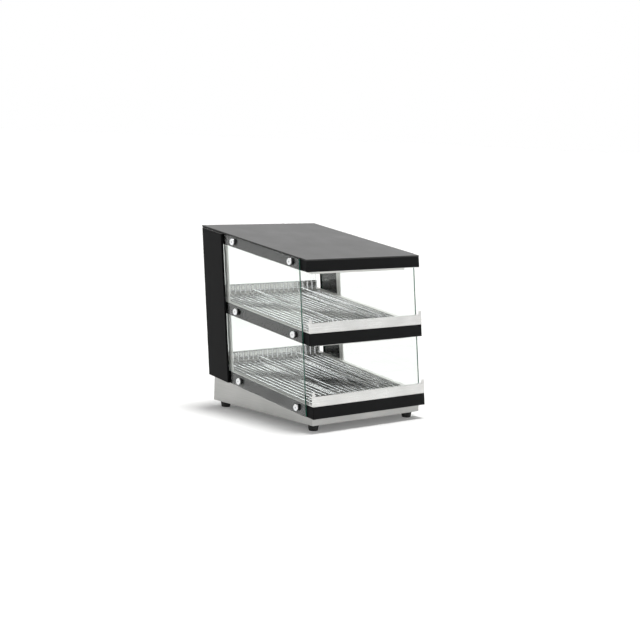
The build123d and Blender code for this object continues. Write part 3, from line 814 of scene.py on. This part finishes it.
def finish_piece(piece: Piece, finish: Finish, node: str, body: str = ROOT_BODY, extra: bool = False) -> Made:
    """Give a piece its shading, its material and its place in the frame.

    Args:
        piece: The finished mesh.
        finish: Its finish. Clear glass keeps flat faces, so that nothing seen through it bends.
        node: The solid that it belongs to.
        body: The body that it rides on.
        extra: True if it only adds to the solid's look and doesn't replace the solid.

    Returns:
        The piece with its place.
    """
    choose(piece)
    if finish is Finish.CLEAR:
        bpy.ops.object.shade_flat()
    else:
        bpy.ops.object.shade_smooth_by_angle(angle=SHARP)
        modify(piece, "WEIGHTED_NORMAL", keep_sharp=True)
    piece.data.materials.clear()
    piece.data.materials.append(material_of(finish))
    return Made(piece, node, body, extra).settle()


def second_finish(piece: Piece, finish: Finish, test: Test) -> None:
    """Give some faces of a finished piece another finish.

    Args:
        piece: The piece.
        finish: The other finish.
        test: Says of a face whether it gets it.
    """
    piece.data.materials.append(material_of(finish))
    with editing(piece):
        pick(piece, test)
        piece.active_material_index = len(piece.data.materials) - 1
        bpy.ops.object.material_slot_assign()


def soften(node: str, finish: Finish, width: float = EDGE, body: str = ROOT_BODY) -> Made:
    """Replace a solid by its own mesh with merged triangles and rounded sharp edges.

    Args:
        node: Name of the solid.
        finish: Its finish.
        width: Width of the rounding, in millimetres.
        body: The body that it rides on.

    Returns:
        The piece with its place.
    """
    piece = bpy.data.objects.new(f"{node}_soft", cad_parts[node].data.copy())
    bpy.context.scene.collection.objects.link(piece)
    choose(piece)
    keep_place(f"{node}_soft")
    with editing(piece):
        bpy.ops.mesh.select_all(action="SELECT")
        bpy.ops.mesh.remove_doubles(threshold=WELD)
        bpy.ops.mesh.dissolve_limited(angle_limit=FLAT)
    modify(
        piece,
        "BEVEL",
        width=width * MM,
        segments=EDGE_STEPS,
        limit_method="ANGLE",
        angle_limit=SOLID_SHARP,
    )
    return finish_piece(piece, finish, node, body)


def dress(finish: Finish, *nodes: str) -> None:
    """Give solids that stay in view their material.

    Args:
        finish: Their finish.
        nodes: Names of the solids.
    """
    for node in nodes:
        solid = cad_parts[node]
        solid.data.materials.clear()
        solid.data.materials.append(material_of(finish))
        LOG.info("%s: kept, %s", node, finish.name.lower())


# Sub-assemblies


@dataclass
class Base:
    """Stainless wedge on four tapered rubber feet."""

    foot_radius: float = 17.0
    foot_sole_radius: float = 13.5
    recess_radius: float = 6.5
    recess_depth: float = 11.0
    shell_edge: float = 0.7
    sole_round: float = 1.6
    shoulder_round: float = 0.8

    def foot(self, node: str) -> Made:
        """Model one foot: a tapered plug with a rounded sole, a rounded shoulder and a screw recess.

        Args:
            node: The solid that it replaces.

        Returns:
            The foot.
        """
        low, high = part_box(node)
        sole = (low + high) / 2
        sole.z = low.z
        height = (high.z - low.z) / MM
        foot = cylinder(
            f"{node}_rubber", sole, Z_AXIS, self.foot_sole_radius, height, Sides.LARGE, self.foot_radius
        )
        round_edges(foot, self.sole_round, at_end(foot, -Z_AXIS), steps=3)
        round_edges(foot, self.shoulder_round, at_end(foot, Z_AXIS))
        rim = self.foot_sole_radius - self.sole_round - self.recess_radius
        pull(foot, facing(-Z_AXIS), Z_AXIS * self.recess_depth, rim)
        return finish_piece(foot, Finish.RUBBER, node)

    def build(self) -> None:
        """Build the base and its feet."""
        foot = self.foot("foot_front_left")
        for corner in ("front_right", "rear_left", "rear_right"):
            foot.twin("front_left", corner)
        soften("base_shell", Finish.BRUSHED, self.shell_edge)
        dress(Finish.BRUSHED, "base_rear_wall", "base_plate")
        dress(Finish.ZINC, "foot_screws")


@dataclass
class RearControls:
    """Panel on the rear of the base with knobs, switches, lamps and the cable gland."""

    knob_radius: float = 17.0
    skirt: float = 2.4
    skirt_slope: float = 1.6
    grip_base: float = 13.5
    grip_top: float = 11.5
    grip_round: float = 2.0
    flute: float = 0.35
    flute_slope: float = 0.4
    pointer_width: float = 3.0
    pointer_round: float = 0.3
    line_width: float = 1.2
    line_share: float = 0.8
    print_thickness: float = 0.3
    screw_radius: float = 3.2
    screw_height: float = 1.6
    screw_round: float = 0.9
    screw_rim: float = 1.1
    screw_recess: float = 0.8
    screw_inset: float = 7.0
    gland_flats: float = 22.0
    gland_nut: float = 11.0
    gland_nut_round: float = 0.8
    gland_thread_radius: float = 7.9
    gland_thread: float = 14.0
    gland_mouth: float = 4.2
    gland_dome_radius: float = 10.0
    gland_tip_radius: float = 7.8
    gland_tip_round: float = 1.2
    lens_radius: float = 4.5
    lens_round_share: float = 0.85
    lamp_body_radius: float = 3.4
    bezel_radius: float = 5.2
    bezel_wire: float = 0.7
    bezel_sides: tuple[int, int] = (40, 10)
    mark_size: float = 4.5
    switch_edge: float = 0.4
    rocker_edge: float = 0.3
    dial_start: float = 18.0
    dial_ticks: int = 10
    tick_width: float = 0.7
    tick_lengths: Span = (0.6, 1.6)
    dial_sweep_deg: float = 270.0

    def seat_of(self, node: str) -> Vector:
        """Middle of a solid, moved along Y to the panel's outer face."""
        middle = sum(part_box(node), Vector()) / 2
        return Vector((middle.x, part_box("control_panel")[1].y, middle.z))

    def knob(self) -> list[Made]:
        """Model the lower knob: a skirt, a fluted tapered grip, a raised pointer and its white line.

        Returns:
            The moulding and the line.
        """
        node, body = f"knob_{LOWER}", f"{LOWER}_knob"
        low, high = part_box(node)
        middle, length = (low + high) / 2, high.y - low.y
        start = middle - Y_AXIS * length / 2
        knob = cylinder(f"{node}_grip", start, Y_AXIS, self.knob_radius, self.skirt, Sides.KNOB)
        slope_share, grip_share = self.grip_base / self.knob_radius, self.grip_top / self.grip_base
        grip = length / MM - self.skirt - self.skirt_slope
        with editing(knob):
            pick(knob, facing(Y_AXIS))
            for depth, scale in ((self.skirt_slope, slope_share), (grip, grip_share)):
                push(Y_AXIS * depth)
                bpy.ops.transform.resize(value=(scale, 1, scale), center_override=middle)
        round_edges(knob, self.grip_round, at_end(knob, Y_AXIS), steps=3)
        grip_y = low.y + (self.skirt + self.skirt_slope) * MM
        with editing(knob):
            pick(
                knob,
                lambda face: face.calc_center_median().y > grip_y and abs(face.normal.y) < self.flute_slope,
            )
            bpy.ops.mesh.select_nth(skip=1, nth=1)
            bpy.ops.mesh.inset(thickness=self.flute * MM, depth=-self.flute * MM, use_individual=True)
        reach = (self.knob_radius - self.flute) * MM
        place = middle + Z_AXIS * reach / 2
        pointer = bar(f"{node}_pointer", place, (self.pointer_width * MM, length, reach))
        round_edges(pointer, self.pointer_round)
        place.y = high.y
        size = (self.line_width * MM, self.print_thickness * MM, reach * self.line_share)
        line = bar(f"{node}_line", place, size)
        moulding = joined(f"{node}_moulding", [knob, pointer])
        return [
            finish_piece(moulding, Finish.NYLON, node, body),
            finish_piece(line, Finish.INK, node, body, extra=True),
        ]

    def dial(self) -> Made:
        """Print a ring of ticks round the lower knob, which grow the way that it turns.

        Returns:
            The ring of ticks.
        """
        node = f"knob_{LOWER}"
        shortest, longest = self.tick_lengths
        ticks = []
        for index in range(self.dial_ticks):
            share = index / (self.dial_ticks - 1)
            length = shortest + share * (longest - shortest)
            turn = share * radians(self.dial_sweep_deg)
            arm = Matrix.Rotation(turn, 3, "Y") @ Z_AXIS * (self.dial_start + length / 2) * MM
            size = Vector((self.tick_width, self.print_thickness, length)) * MM
            ticks.append(bar(f"tick_{index}", self.seat_of(node) + arm, size, turn))
        return finish_piece(joined(f"dial_{LOWER}_ticks", ticks), Finish.INK, node, extra=True)

    def lamps(self) -> None:
        """Model the two amber lamps with their bezels."""
        node = "pilot_lamps"
        low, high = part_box(node)
        seat = self.seat_of(node)
        height, back = (high.y - seat.y) / MM, (seat.y - low.y) / MM
        seat.x = low.x + self.lens_radius * MM
        lens = cylinder("lens", seat, Y_AXIS, self.lens_radius, height, Sides.MIDDLING)
        round_edges(lens, height * self.lens_round_share, at_end(lens, Y_AXIS), steps=5)
        rear = seat - Y_AXIS * back * MM
        shank = cylinder("shank", rear, Y_AXIS, self.lamp_body_radius, back, Sides.SMALL)
        deselect_all()
        bpy.ops.mesh.primitive_torus_add(
            location=seat + Y_AXIS * self.bezel_wire / 2 * MM,
            rotation=(pi / 2, 0, 0),
            major_radius=self.bezel_radius * MM,
            minor_radius=self.bezel_wire * MM,
            major_segments=self.bezel_sides[0],
            minor_segments=self.bezel_sides[1],
        )
        bezel = keep_place("bezel")
        step = X_AXIS * (high.x - low.x - 2 * self.lens_radius * MM)
        finish_piece(joined("lamp_lenses", [lens, shank], [step]), Finish.AMBER, node)
        finish_piece(joined("lamp_bezels", [bezel], [step]), Finish.CHROME, node, extra=True)

    def gland(self) -> None:
        """Model the gland: a hexagon nut, a domed cap with an open mouth and a thread."""
        node = "cable_gland"
        seat = self.seat_of(node)
        radius = self.gland_flats / 2 / cos(pi / Sides.NUT)
        nut = cylinder("nut", seat, Y_AXIS, radius, self.gland_nut, Sides.NUT)
        round_edges(nut, self.gland_nut_round)
        start = seat + Y_AXIS * self.gland_nut * MM
        length, tip = (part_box(node)[1].y - start.y) / MM, self.gland_tip_radius
        dome = cylinder("dome", start, Y_AXIS, self.gland_dome_radius, length, Sides.BROAD, tip)
        round_edges(dome, self.gland_tip_round, at_end(dome, Y_AXIS))
        rim = tip - self.gland_tip_round - self.gland_mouth
        pull(dome, facing(Y_AXIS), -Y_AXIS * (length + self.gland_nut), rim)
        rear = seat - Y_AXIS * self.gland_thread * MM
        thread = cylinder("thread", rear, Y_AXIS, self.gland_thread_radius, self.gland_thread, Sides.MIDDLING)
        finish_piece(joined("gland_body", [nut, dome, thread]), Finish.NYLON, node)

    def switch(self) -> list[Made]:
        """Soften the power switch, and print an on and an off mark beside it.

        Returns:
            The frame, the rocker and the marks.
        """
        node = "power_switch_frame"
        made = [
            soften(node, Finish.NYLON, self.switch_edge),
            soften("power_rocker", Finish.NYLON, self.rocker_edge, "power_switch"),
        ]
        low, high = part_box(node)
        size, seat = self.mark_size * MM, self.seat_of(node)
        marks = []
        for letter, z in (("I", high.z + size), ("O", low.z - size)):
            deselect_all()
            bpy.ops.object.text_add(location=(seat.x, seat.y, z), rotation=(pi / 2, 0, pi))
            text = bpy.context.active_object.data
            text.body, text.size, text.extrude = letter, size, self.print_thickness * MM / 2
            text.align_x, text.align_y = "CENTER", "CENTER"
            bpy.ops.object.convert(target="MESH")
            marks.append(keep_place("mark"))
        return [*made, finish_piece(joined("power_marks", marks), Finish.INK, node, extra=True)]

    def screws(self) -> None:
        """Model the four pan head screws of the panel, each with a round recess."""
        node = "control_panel"
        low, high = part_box(node)
        inset = self.screw_inset * MM
        corner = Vector((low.x + inset, high.y, low.z + inset))
        head = cylinder("head", corner, Y_AXIS, self.screw_radius, self.screw_height, Sides.SMALL)
        round_edges(head, self.screw_round, at_end(head, Y_AXIS), steps=3)
        pull(head, facing(Y_AXIS), -Y_AXIS * self.screw_recess, self.screw_rim)
        across, up = X_AXIS * (high.x - low.x - 2 * inset), Z_AXIS * (high.z - low.z - 2 * inset)
        heads = joined("panel_screws", [head], [across, up, across + up])
        finish_piece(heads, Finish.ZINC, node, extra=True)

    def build(self) -> None:
        """Build everything on the rear panel."""
        soften("control_panel", Finish.POWDER)
        for made in [*self.knob(), self.dial()]:
            made.twin(LOWER, UPPER)
        for made in self.switch():
            made.twin("power", "light")
        self.lamps()
        self.gland()
        self.screws()
        dress(Finish.NYLON, f"thermostat_{LOWER}", f"thermostat_{UPPER}", "terminal_block")


@dataclass
class Shelf:
    """The lower heated shelf with its lip, wire rack, lane dividers and light, and its upper twin."""

    fascia_round: float = 2.4
    flange: float = 1.5
    margin: float = 16.0
    recess: float = 9.3
    lip_height: float = 28.0
    lip_return: float = 7.0
    tab_width: float = 11.0
    tab_height: float = 13.0
    cheek: float = 16.0
    cheek_rim: float = 2.6
    wire: float = 2.25
    wire_pitch: float = 20.0
    wire_count: int = 21
    wire_bend: float = 7.0
    rack_front: float = 26.0
    rack_rear: float = 462.0
    guard_height: float = 31.0
    guard_low: float = 9.0
    cross_wires: int = 5
    cross_runs: Span = (33.0, 441.0)
    cross_drop: float = 4.1
    divider_x: float = 79.0
    divider_wire: float = 2.0
    divider_height: float = 24.0
    divider_runs: Span = (50.0, 430.0)
    divider_bend: float = 8.0
    divider_foot: float = 15.0
    divider_foot_inset: float = 16.0
    divider_float: float = 0.3
    light_half: float = 190.0
    light_runs: Span = (26.0, 44.0)
    light_height: float = 10.0
    light_wall: float = 2.0
    lens_gap: float = 0.3

    def box(self) -> list[Made]:
        """Model the black box: the folded tray and the fascia with its rounded ends.

        Returns:
            The tray and the fascia.
        """
        tray = soften(f"{LOWER}_tray", Finish.POWDER)
        rises = (0, VIEW.band - self.flange)
        fascia = block(f"{LOWER}_fascia_panel", VIEW.across, (0, VIEW.fascia), rises)
        ends = within(x=VIEW.half - EDGE, run=(-inf, EDGE))
        round_edges(fascia, self.fascia_round, ends, steps=4)
        round_edges(fascia)
        return [tray, finish_piece(fascia, Finish.POWDER, f"{LOWER}_fascia")]

    def deck(self) -> Made:
        """Model the stainless deck: a flange with a shallow pan pressed into it.

        Returns:
            The deck.
        """
        rises = (VIEW.band - self.flange, VIEW.band)
        deck = block(f"{LOWER}_deck_pan", VIEW.across, (0, VIEW.depth), rises)
        down = -VIEW.rise_dir * self.recess
        pull(deck, facing(-VIEW.shelf_normal), down, self.margin)
        pull(deck, facing(VIEW.shelf_normal), down, self.margin + VIEW.sheet)
        round_edges(deck)
        return finish_piece(deck, Finish.SATIN, f"{LOWER}_deck")

    def lip(self) -> Made:
        """Model the lip: a leaning plate with end tabs, a folded top and open end cheeks.

        Returns:
            The lip.
        """
        top = VIEW.band + self.lip_height
        fold, tabs, cheeks = top - VIEW.sheet, VIEW.half - self.tab_width, VIEW.half - VIEW.sheet
        lip = block(f"{LOWER}_lip_plate", VIEW.across, (0, VIEW.sheet), (VIEW.band, top))
        slice_at(lip, [X_AXIS * x * MM for x in (-cheeks, -tabs, tabs, cheeks)], X_AXIS)
        slice_at(lip, [VIEW.at(0, fold)], VIEW.shelf_normal)
        pull(lip, within(VIEW.shelf_normal, x=tabs), VIEW.rise_dir * self.tab_height)
        rear, folded = VIEW.front_normal, VIEW.run_dir * (self.lip_return - VIEW.sheet)
        pull(lip, within(rear, rise=(fold, top)), folded)
        plate = within(rear, x=cheeks, run=(0, self.lip_return / 2), rise=(0, top))
        pull(lip, plate, VIEW.run_dir * (self.cheek - VIEW.sheet))
        for side in Side:
            self.open_cheek(lip, side)
        round_edges(lip)
        return finish_piece(lip, Finish.BRIGHT, f"{LOWER}_lip")

    def open_cheek(self, lip: Piece, side: Side) -> None:
        """Cut the window through one cheek of the lip, by bridging its outer and inner face.

        Args:
            lip: The lip.
            side: The side of the cheek.
        """
        cheek = within(x=VIEW.half - 2 * VIEW.sheet, run=(self.cheek / 3, inf))
        with editing(lip):
            pick(
                lip,
                lambda face: face.calc_center_median().x * side.value > 0
                and abs(face.normal.x) > SQUARE
                and cheek(face),
            )
            bpy.ops.mesh.inset(thickness=self.cheek_rim * MM, use_individual=True)
            bpy.ops.mesh.bridge_edge_loops()

    def rack(self) -> Made:
        """Model the rack: a row of bent wires welded to straight cross wires and guard rails.

        Returns:
            The rack.
        """
        half_width = (self.wire_count - 1) * self.wire_pitch / 2
        rise, guard_top = VIEW.band - self.wire, VIEW.band + self.guard_height
        corners = ((self.rack_front, rise), (self.rack_rear, rise), (self.rack_rear, guard_top))
        path = [VIEW.at(*corner, -half_width) for corner in corners]
        wires = bent_wire(f"{LOWER}_wires", path, self.wire, self.wire_bend)
        round_edges(wires, self.wire / 2)
        modify(
            wires,
            "ARRAY",
            count=self.wire_count,
            use_relative_offset=False,
            use_constant_offset=True,
            constant_offset_displace=X_AXIS * self.wire_pitch * MM,
        )
        first, last = self.cross_runs
        step = (last - first) / (self.cross_wires - 1)
        places = [(first + index * step, rise - self.cross_drop) for index in range(self.cross_wires)]
        guard_run = self.rack_rear + self.cross_drop
        places += [(guard_run, VIEW.band + self.guard_low), (guard_run, guard_top - self.wire)]
        start, *others = [VIEW.at(*place) for place in places]
        cross_wire = rod("cross_wire", start, half_width + self.wire, self.wire)
        cross_wires = joined("cross_wires", [cross_wire], [other - start for other in others])
        rack = joined(f"{LOWER}_rack_wires", [wires, cross_wires])
        return finish_piece(rack, Finish.CHROME, f"{LOWER}_rack", f"{LOWER}_rack_body")

    def divider(self) -> Made:
        """Model the left lane divider: a closed wire loop on two cross feet.

        Returns:
            The divider.
        """
        node, x = f"{LOWER}_divider_left", -self.divider_x
        front, rear = self.divider_runs
        middle = (front + rear) / 2
        low = VIEW.band + self.divider_float + self.divider_wire
        high = VIEW.band + self.divider_height - self.divider_wire
        corners = ((middle, low), (rear, low), (rear, high), (front, high), (front, low), (middle, low))
        path = [VIEW.at(*corner, x) for corner in corners]
        loop = bent_wire("loop", path, self.divider_wire, self.divider_bend, closed=True)
        inset = self.divider_foot_inset
        foot = rod("foot", VIEW.at(front + inset, low, x), self.divider_foot, self.divider_wire)
        feet = joined("feet", [foot], [VIEW.run_dir * (rear - front - 2 * inset) * MM])
        return finish_piece(joined(f"{node}_wires", [loop, feet]), Finish.CHROME, node, f"{node}_body")

    def light(self) -> list[Made]:
        """Model the lighting strip: a channel with a recessed opal lens.

        Returns:
            The channel and the lens.
        """
        node, half, wall = f"{LOWER}_light", self.light_half, self.light_wall
        (front, rear), bottom = self.light_runs, VIEW.pitch - self.light_height
        channel = block(f"{node}_channel", (-half, half), self.light_runs, (bottom, VIEW.pitch))
        pull(channel, facing(-VIEW.shelf_normal), VIEW.rise_dir * wall, wall)
        round_edges(channel)
        inset = wall + self.lens_gap
        rises = (bottom + self.lens_gap, bottom + wall)
        lens = block(f"{node}_lens", (inset - half, half - inset), (front + inset, rear - inset), rises)
        round_edges(lens)
        return [
            finish_piece(channel, Finish.WHITE_ENAMEL, node),
            finish_piece(lens, Finish.OPAL, node, extra=True),
        ]

    def build(self) -> None:
        """Build the whole lower shelf and copy it to the upper one."""
        made = [*self.box(), self.deck(), self.lip(), self.rack()]
        divider = self.divider()
        made += [divider, divider.twin("left", "right"), *self.light()]
        for item in made:
            item.twin(LOWER, UPPER)
        dress(Finish.SILICONE, f"{LOWER}_heater", f"{UPPER}_heater")
        dress(Finish.WOOL, f"{LOWER}_insulation", f"{UPPER}_insulation")


@dataclass
class Roof:
    """Roof box with its fascia, stainless ceiling and lid."""

    ceiling: float = 1.2
    ceiling_round: float = 0.4
    lid_round: float = 1.1
    overhang: float = 2.5
    overhang_from: float = 28.0

    def build(self) -> None:
        """Build the roof."""
        soften("roof_band", Finish.POWDER)
        band_top, ceiling_top = VIEW.roof_top - VIEW.lid, VIEW.roof_floor + self.ceiling
        fascia = block("roof_fascia_panel", VIEW.across, (0, VIEW.fascia), (ceiling_top, band_top))
        round_edges(fascia)
        finish_piece(fascia, Finish.POWDER, "roof_fascia")
        rises = (VIEW.roof_floor, ceiling_top)
        ceiling = block("roof_ceiling_sheet", VIEW.across, (0, VIEW.depth), rises)
        round_edges(ceiling, self.ceiling_round)
        finish_piece(ceiling, Finish.BRIGHT, "roof_ceiling")
        self.lid(band_top)

    def lid(self, bottom: float) -> None:
        """Model the lid, which widens behind the front edge of the glass.

        Args:
            bottom: Rise of its underside.
        """
        rises = (bottom, bottom + VIEW.lid)
        lid = block("roof_lid_plate", VIEW.across, (0, VIEW.depth), rises, VIEW.shelf_normal)
        slice_at(lid, [VIEW.at(self.overhang_from, bottom)], VIEW.run_dir)
        for side in Side:
            pull(lid, within(side.out, run=(self.overhang_from, inf)), side.out * self.overhang)
        round_edges(lid, self.lid_round, at_end(lid, VIEW.shelf_normal), steps=3)
        finish_piece(lid, Finish.ENAMEL, "roof_lid")


@dataclass
class GlassSide:
    """One side: the pane, its studs, the column over its rear edge and the posts inside."""

    side: Side
    arris_share: float = 0.6
    cap_radius: float = 10.0
    cap_height: float = 8.0
    cap_round: float = 0.8
    socket_radius: float = 2.5
    socket_depth: float = 2.0
    shank_radius: float = 4.0
    # Washer thickness: real black rubber, and made this thick so that its dark band is also painted shade for
    # the cap's shaded side
    washer: float = 4.6
    washer_inset: float = 0.3
    stud_runs: Span = (64.0, 336.0)
    column_runs: Span = (388.0, 484.5)
    column: float = 7.6
    column_gap: float = 0.3
    column_round: float = 1.5
    column_drop: float = 1.0
    sheen_share: float = 0.9
    post_runs: Span = (374.0, 390.0)
    post: float = 4.0

    @property
    def glass_outer(self) -> float:
        """Distance of the pane's outer face from the middle plane, in millimetres."""
        return max(abs(corner.x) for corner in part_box(f"{self.side.word}_glass")) / MM

    def build_pane(self) -> None:
        """Build the pane with ground arrises and green edges."""
        pane = soften(f"{self.side.word}_glass", Finish.CLEAR).piece
        normal, share = VIEW.front_normal, self.arris_share
        second_finish(pane, Finish.GLASS_EDGE, lambda face: abs(face.normal.dot(normal)) > share)

    def build_studs(self) -> None:
        """Build the chrome stud caps with their sockets and shanks, on thick black rubber washers whose dark
        band is partly painted shade for the caps' shaded sides.
        """
        node, out = f"{self.side.word}_studs", self.side.out
        low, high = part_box(node)
        floors = (0, VIEW.pitch, VIEW.roof_floor)
        places = [(run, floor + VIEW.band / 2) for floor in floors for run in self.stud_runs]
        seat, *others = [VIEW.at(*place, self.glass_outer * self.side.value) for place in places]
        plate, shank = self.cap_height - self.washer, (high.x - low.x) / MM - self.cap_height
        cap = cylinder("cap", seat + out * self.washer * MM, out, self.cap_radius, plate, Sides.LARGE)
        round_edges(cap, self.cap_round, at_end(cap, out), steps=3)
        rim = self.cap_radius - self.cap_round - self.socket_radius
        pull(cap, facing(out), -out * self.socket_depth, rim)
        bolt = cylinder("shank", seat - out * shank * MM, out, self.shank_radius, shank, Sides.SMALL)
        # Black rubber washers, thick enough that their dark ring also stands in as painted shade on the
        # shaded side of each cap
        radius = self.cap_radius - self.washer_inset
        washer = cylinder("washer", seat, out, radius, self.washer, Sides.LARGE)
        moves = [other - seat for other in others]
        finish_piece(joined(f"{node}_caps", [cap, bolt], moves), Finish.CHROME, node)
        finish_piece(joined(f"{node}_washers", [washer], moves), Finish.RUBBER, node, extra=True)

    def build_column(self) -> None:
        """Build the column: a folded cover with rounded outer edges, open towards the glass, whose top face
        gets the lid's enamel as a painted highlight.
        """
        node, out = f"{self.side.word}_column", self.side.out
        near = self.glass_outer + self.column_gap
        x_span = self.side.span(near, near + self.column)
        rises = (0, VIEW.roof_top - VIEW.lid - self.column_drop)
        column = block(f"{node}_cover", x_span, self.column_runs, rises)
        round_edges(column, self.column_round, at_end(column, out), steps=4)
        pull(column, facing(-out), out * (self.column - VIEW.sheet), VIEW.sheet)
        finish_piece(column, Finish.POWDER, node)
        # Painted highlight: the top face takes the paler, glossier lid enamel so that a light line shows
        # along the column's top
        second_finish(column, Finish.ENAMEL, facing(VIEW.shelf_normal, self.sheen_share))

    def build_posts(self) -> None:
        """Build the stainless posts between the boxes, inside the glass."""
        node, x_span = f"{self.side.word}_posts", self.side.span(VIEW.half - self.post, VIEW.half)
        post = block("post", x_span, self.post_runs, (VIEW.band, VIEW.pitch))
        round_edges(post)
        posts = joined(f"{node}_flats", [post], [VIEW.rise_dir * VIEW.pitch * MM])
        finish_piece(posts, Finish.SATIN, node)

    def build(self) -> None:
        """Build the whole side."""
        self.build_pane()
        self.build_studs()
        self.build_column()
        self.build_posts()


@dataclass
class RearDoor:
    """Top hung glass flap over the rear of the lower shelf, and its upper twin."""

    edge: float = EDGE

    def build(self) -> None:
        """Build the flaps with their rails, handles and brackets."""
        door = f"{LOWER}_door"
        for word, finish, body in (
            ("rail", Finish.POWDER, door),
            ("glass", Finish.CLEAR, door),
            ("handle", Finish.BRIGHT, door),
            ("brackets", Finish.BRIGHT, ROOT_BODY),
        ):
            soften(f"{door}_{word}", finish, self.edge, body).twin(LOWER, UPPER)


@dataclass(frozen=True)
class Lamp:
    """A broad, far lamp, which lights the whole floor evenly."""

    name: str
    place: tuple[float, float, float]
    strength: float
    angle_deg: float

    def hang(self) -> None:
        """Hang the lamp so that it shines at the origin from its place."""
        light = bpy.data.lights.new(self.name, "SUN")
        light.energy, light.angle = self.strength, radians(self.angle_deg)
        lamp = bpy.data.objects.new(self.name, light)
        lamp.location = self.place
        lamp.rotation_mode = "QUATERNION"
        lamp.rotation_quaternion = (-lamp.location).to_track_quat("-Z", "Y")
        bpy.context.scene.collection.objects.link(lamp)


@dataclass
class Studio:
    """Plain floor, soft lamps, white surroundings and the camera, with places in metres."""

    floor_size: float = 200.0
    floor_colour: str = "#f6f6f5"
    floor_lift: float = 0.12
    ambient: float = 0.34
    lens_mm: float = 80.12
    place: tuple[float, float, float] = (-2.9159, -3.2762, 0.8652)
    yaw_deg: float = 41.95
    pitch_deg: float = -7.53
    roll_deg: float = 2.27
    top: Lamp = Lamp("top", place=(0.35, 0.15, 3.0), strength=2.3, angle_deg=14)
    side: Lamp = Lamp("side", place=(-1.4, 1.5, 0.9), strength=0.35, angle_deg=24)

    def build_camera(self) -> None:
        """Place the camera where the photograph was taken from."""
        turns = ((-self.yaw_deg, "Z"), (90 + self.pitch_deg, "X"), (self.roll_deg, "Z"))
        yaw, pitch, roll = (Matrix.Rotation(radians(turn), 4, axis) for turn, axis in turns)
        camera = bpy.data.objects.new("camera", bpy.data.cameras.new("camera"))
        camera.data.lens = self.lens_mm
        camera.matrix_world = Matrix.Translation(self.place) @ yaw @ pitch @ roll
        bpy.context.scene.collection.objects.link(camera)
        bpy.context.scene.camera = camera

    def seen(self, tree: Tree) -> Socket:
        """Tell rays that reach the eye, straight or by way of metal and glass, from lighting rays.

        Args:
            tree: The node tree that asks.

        Returns:
            A socket that is 1 for a ray that is seen and 0 otherwise.
        """
        path = add_node(tree, "ShaderNodeLightPath").outputs
        seen = path["Is Camera Ray"]
        for ray in ("Is Glossy Ray", "Is Transmission Ray"):
            seen = add_node(tree, "ShaderNodeMath", {0: seen, 1: path[ray]}, operation="MAXIMUM").outputs[0]
        return seen

    def build_floor(self) -> None:
        """Lay the floor: plain and pale, lifted to white for the eye alone, with the object's shadow."""
        deselect_all()
        bpy.ops.mesh.primitive_plane_add(size=self.floor_size, location=(0, 0, 0))
        floor = keep_place("floor")
        material, tree = empty_material("plain_pale_floor")
        pale = add_node(tree, "ShaderNodeBsdfDiffuse", {"Color": linear(self.floor_colour)}).outputs["BSDF"]
        lift = ranged(tree, self.seen(tree), (0.0, self.floor_lift))
        white = add_node(tree, "ShaderNodeEmission", {"Strength": lift}).outputs["Emission"]
        both = add_node(tree, "ShaderNodeAddShader", {0: pale, 1: white}).outputs["Shader"]
        add_node(tree, "ShaderNodeOutputMaterial", {"Surface": both})
        floor.data.materials.append(material)

    def build_world(self) -> None:
        """Fill the surroundings with white that lights the object at a plain level."""
        world = bpy.data.worlds.new("white_surroundings")
        world.use_nodes = True
        tree = world.node_tree
        tree.nodes.clear()
        strength = ranged(tree, self.seen(tree), (self.ambient, 1.0))
        sky = add_node(tree, "ShaderNodeBackground", {"Strength": strength, "Color": linear("#ffffff")})
        add_node(tree, "ShaderNodeOutputWorld", {"Surface": sky.outputs["Background"]})
        bpy.context.scene.world = world

    def build(self) -> None:
        """Build the studio."""
        self.build_floor()
        self.build_world()
        self.top.hang()
        self.side.hang()
        self.build_camera()
        bpy.context.scene.view_settings.view_transform = "Standard"


def main() -> None:
    """Build every sub-assembly in order, and log each piece's body and face count."""
    logging.basicConfig(level=logging.INFO, format="%(name)s %(message)s")
    Base().build()
    RearControls().build()
    Shelf().build()
    Roof().build()
    for side in Side:
        GlassSide(side).build()
    RearDoor().build()
    Studio().build()


if __name__ == "__main__":
    main()
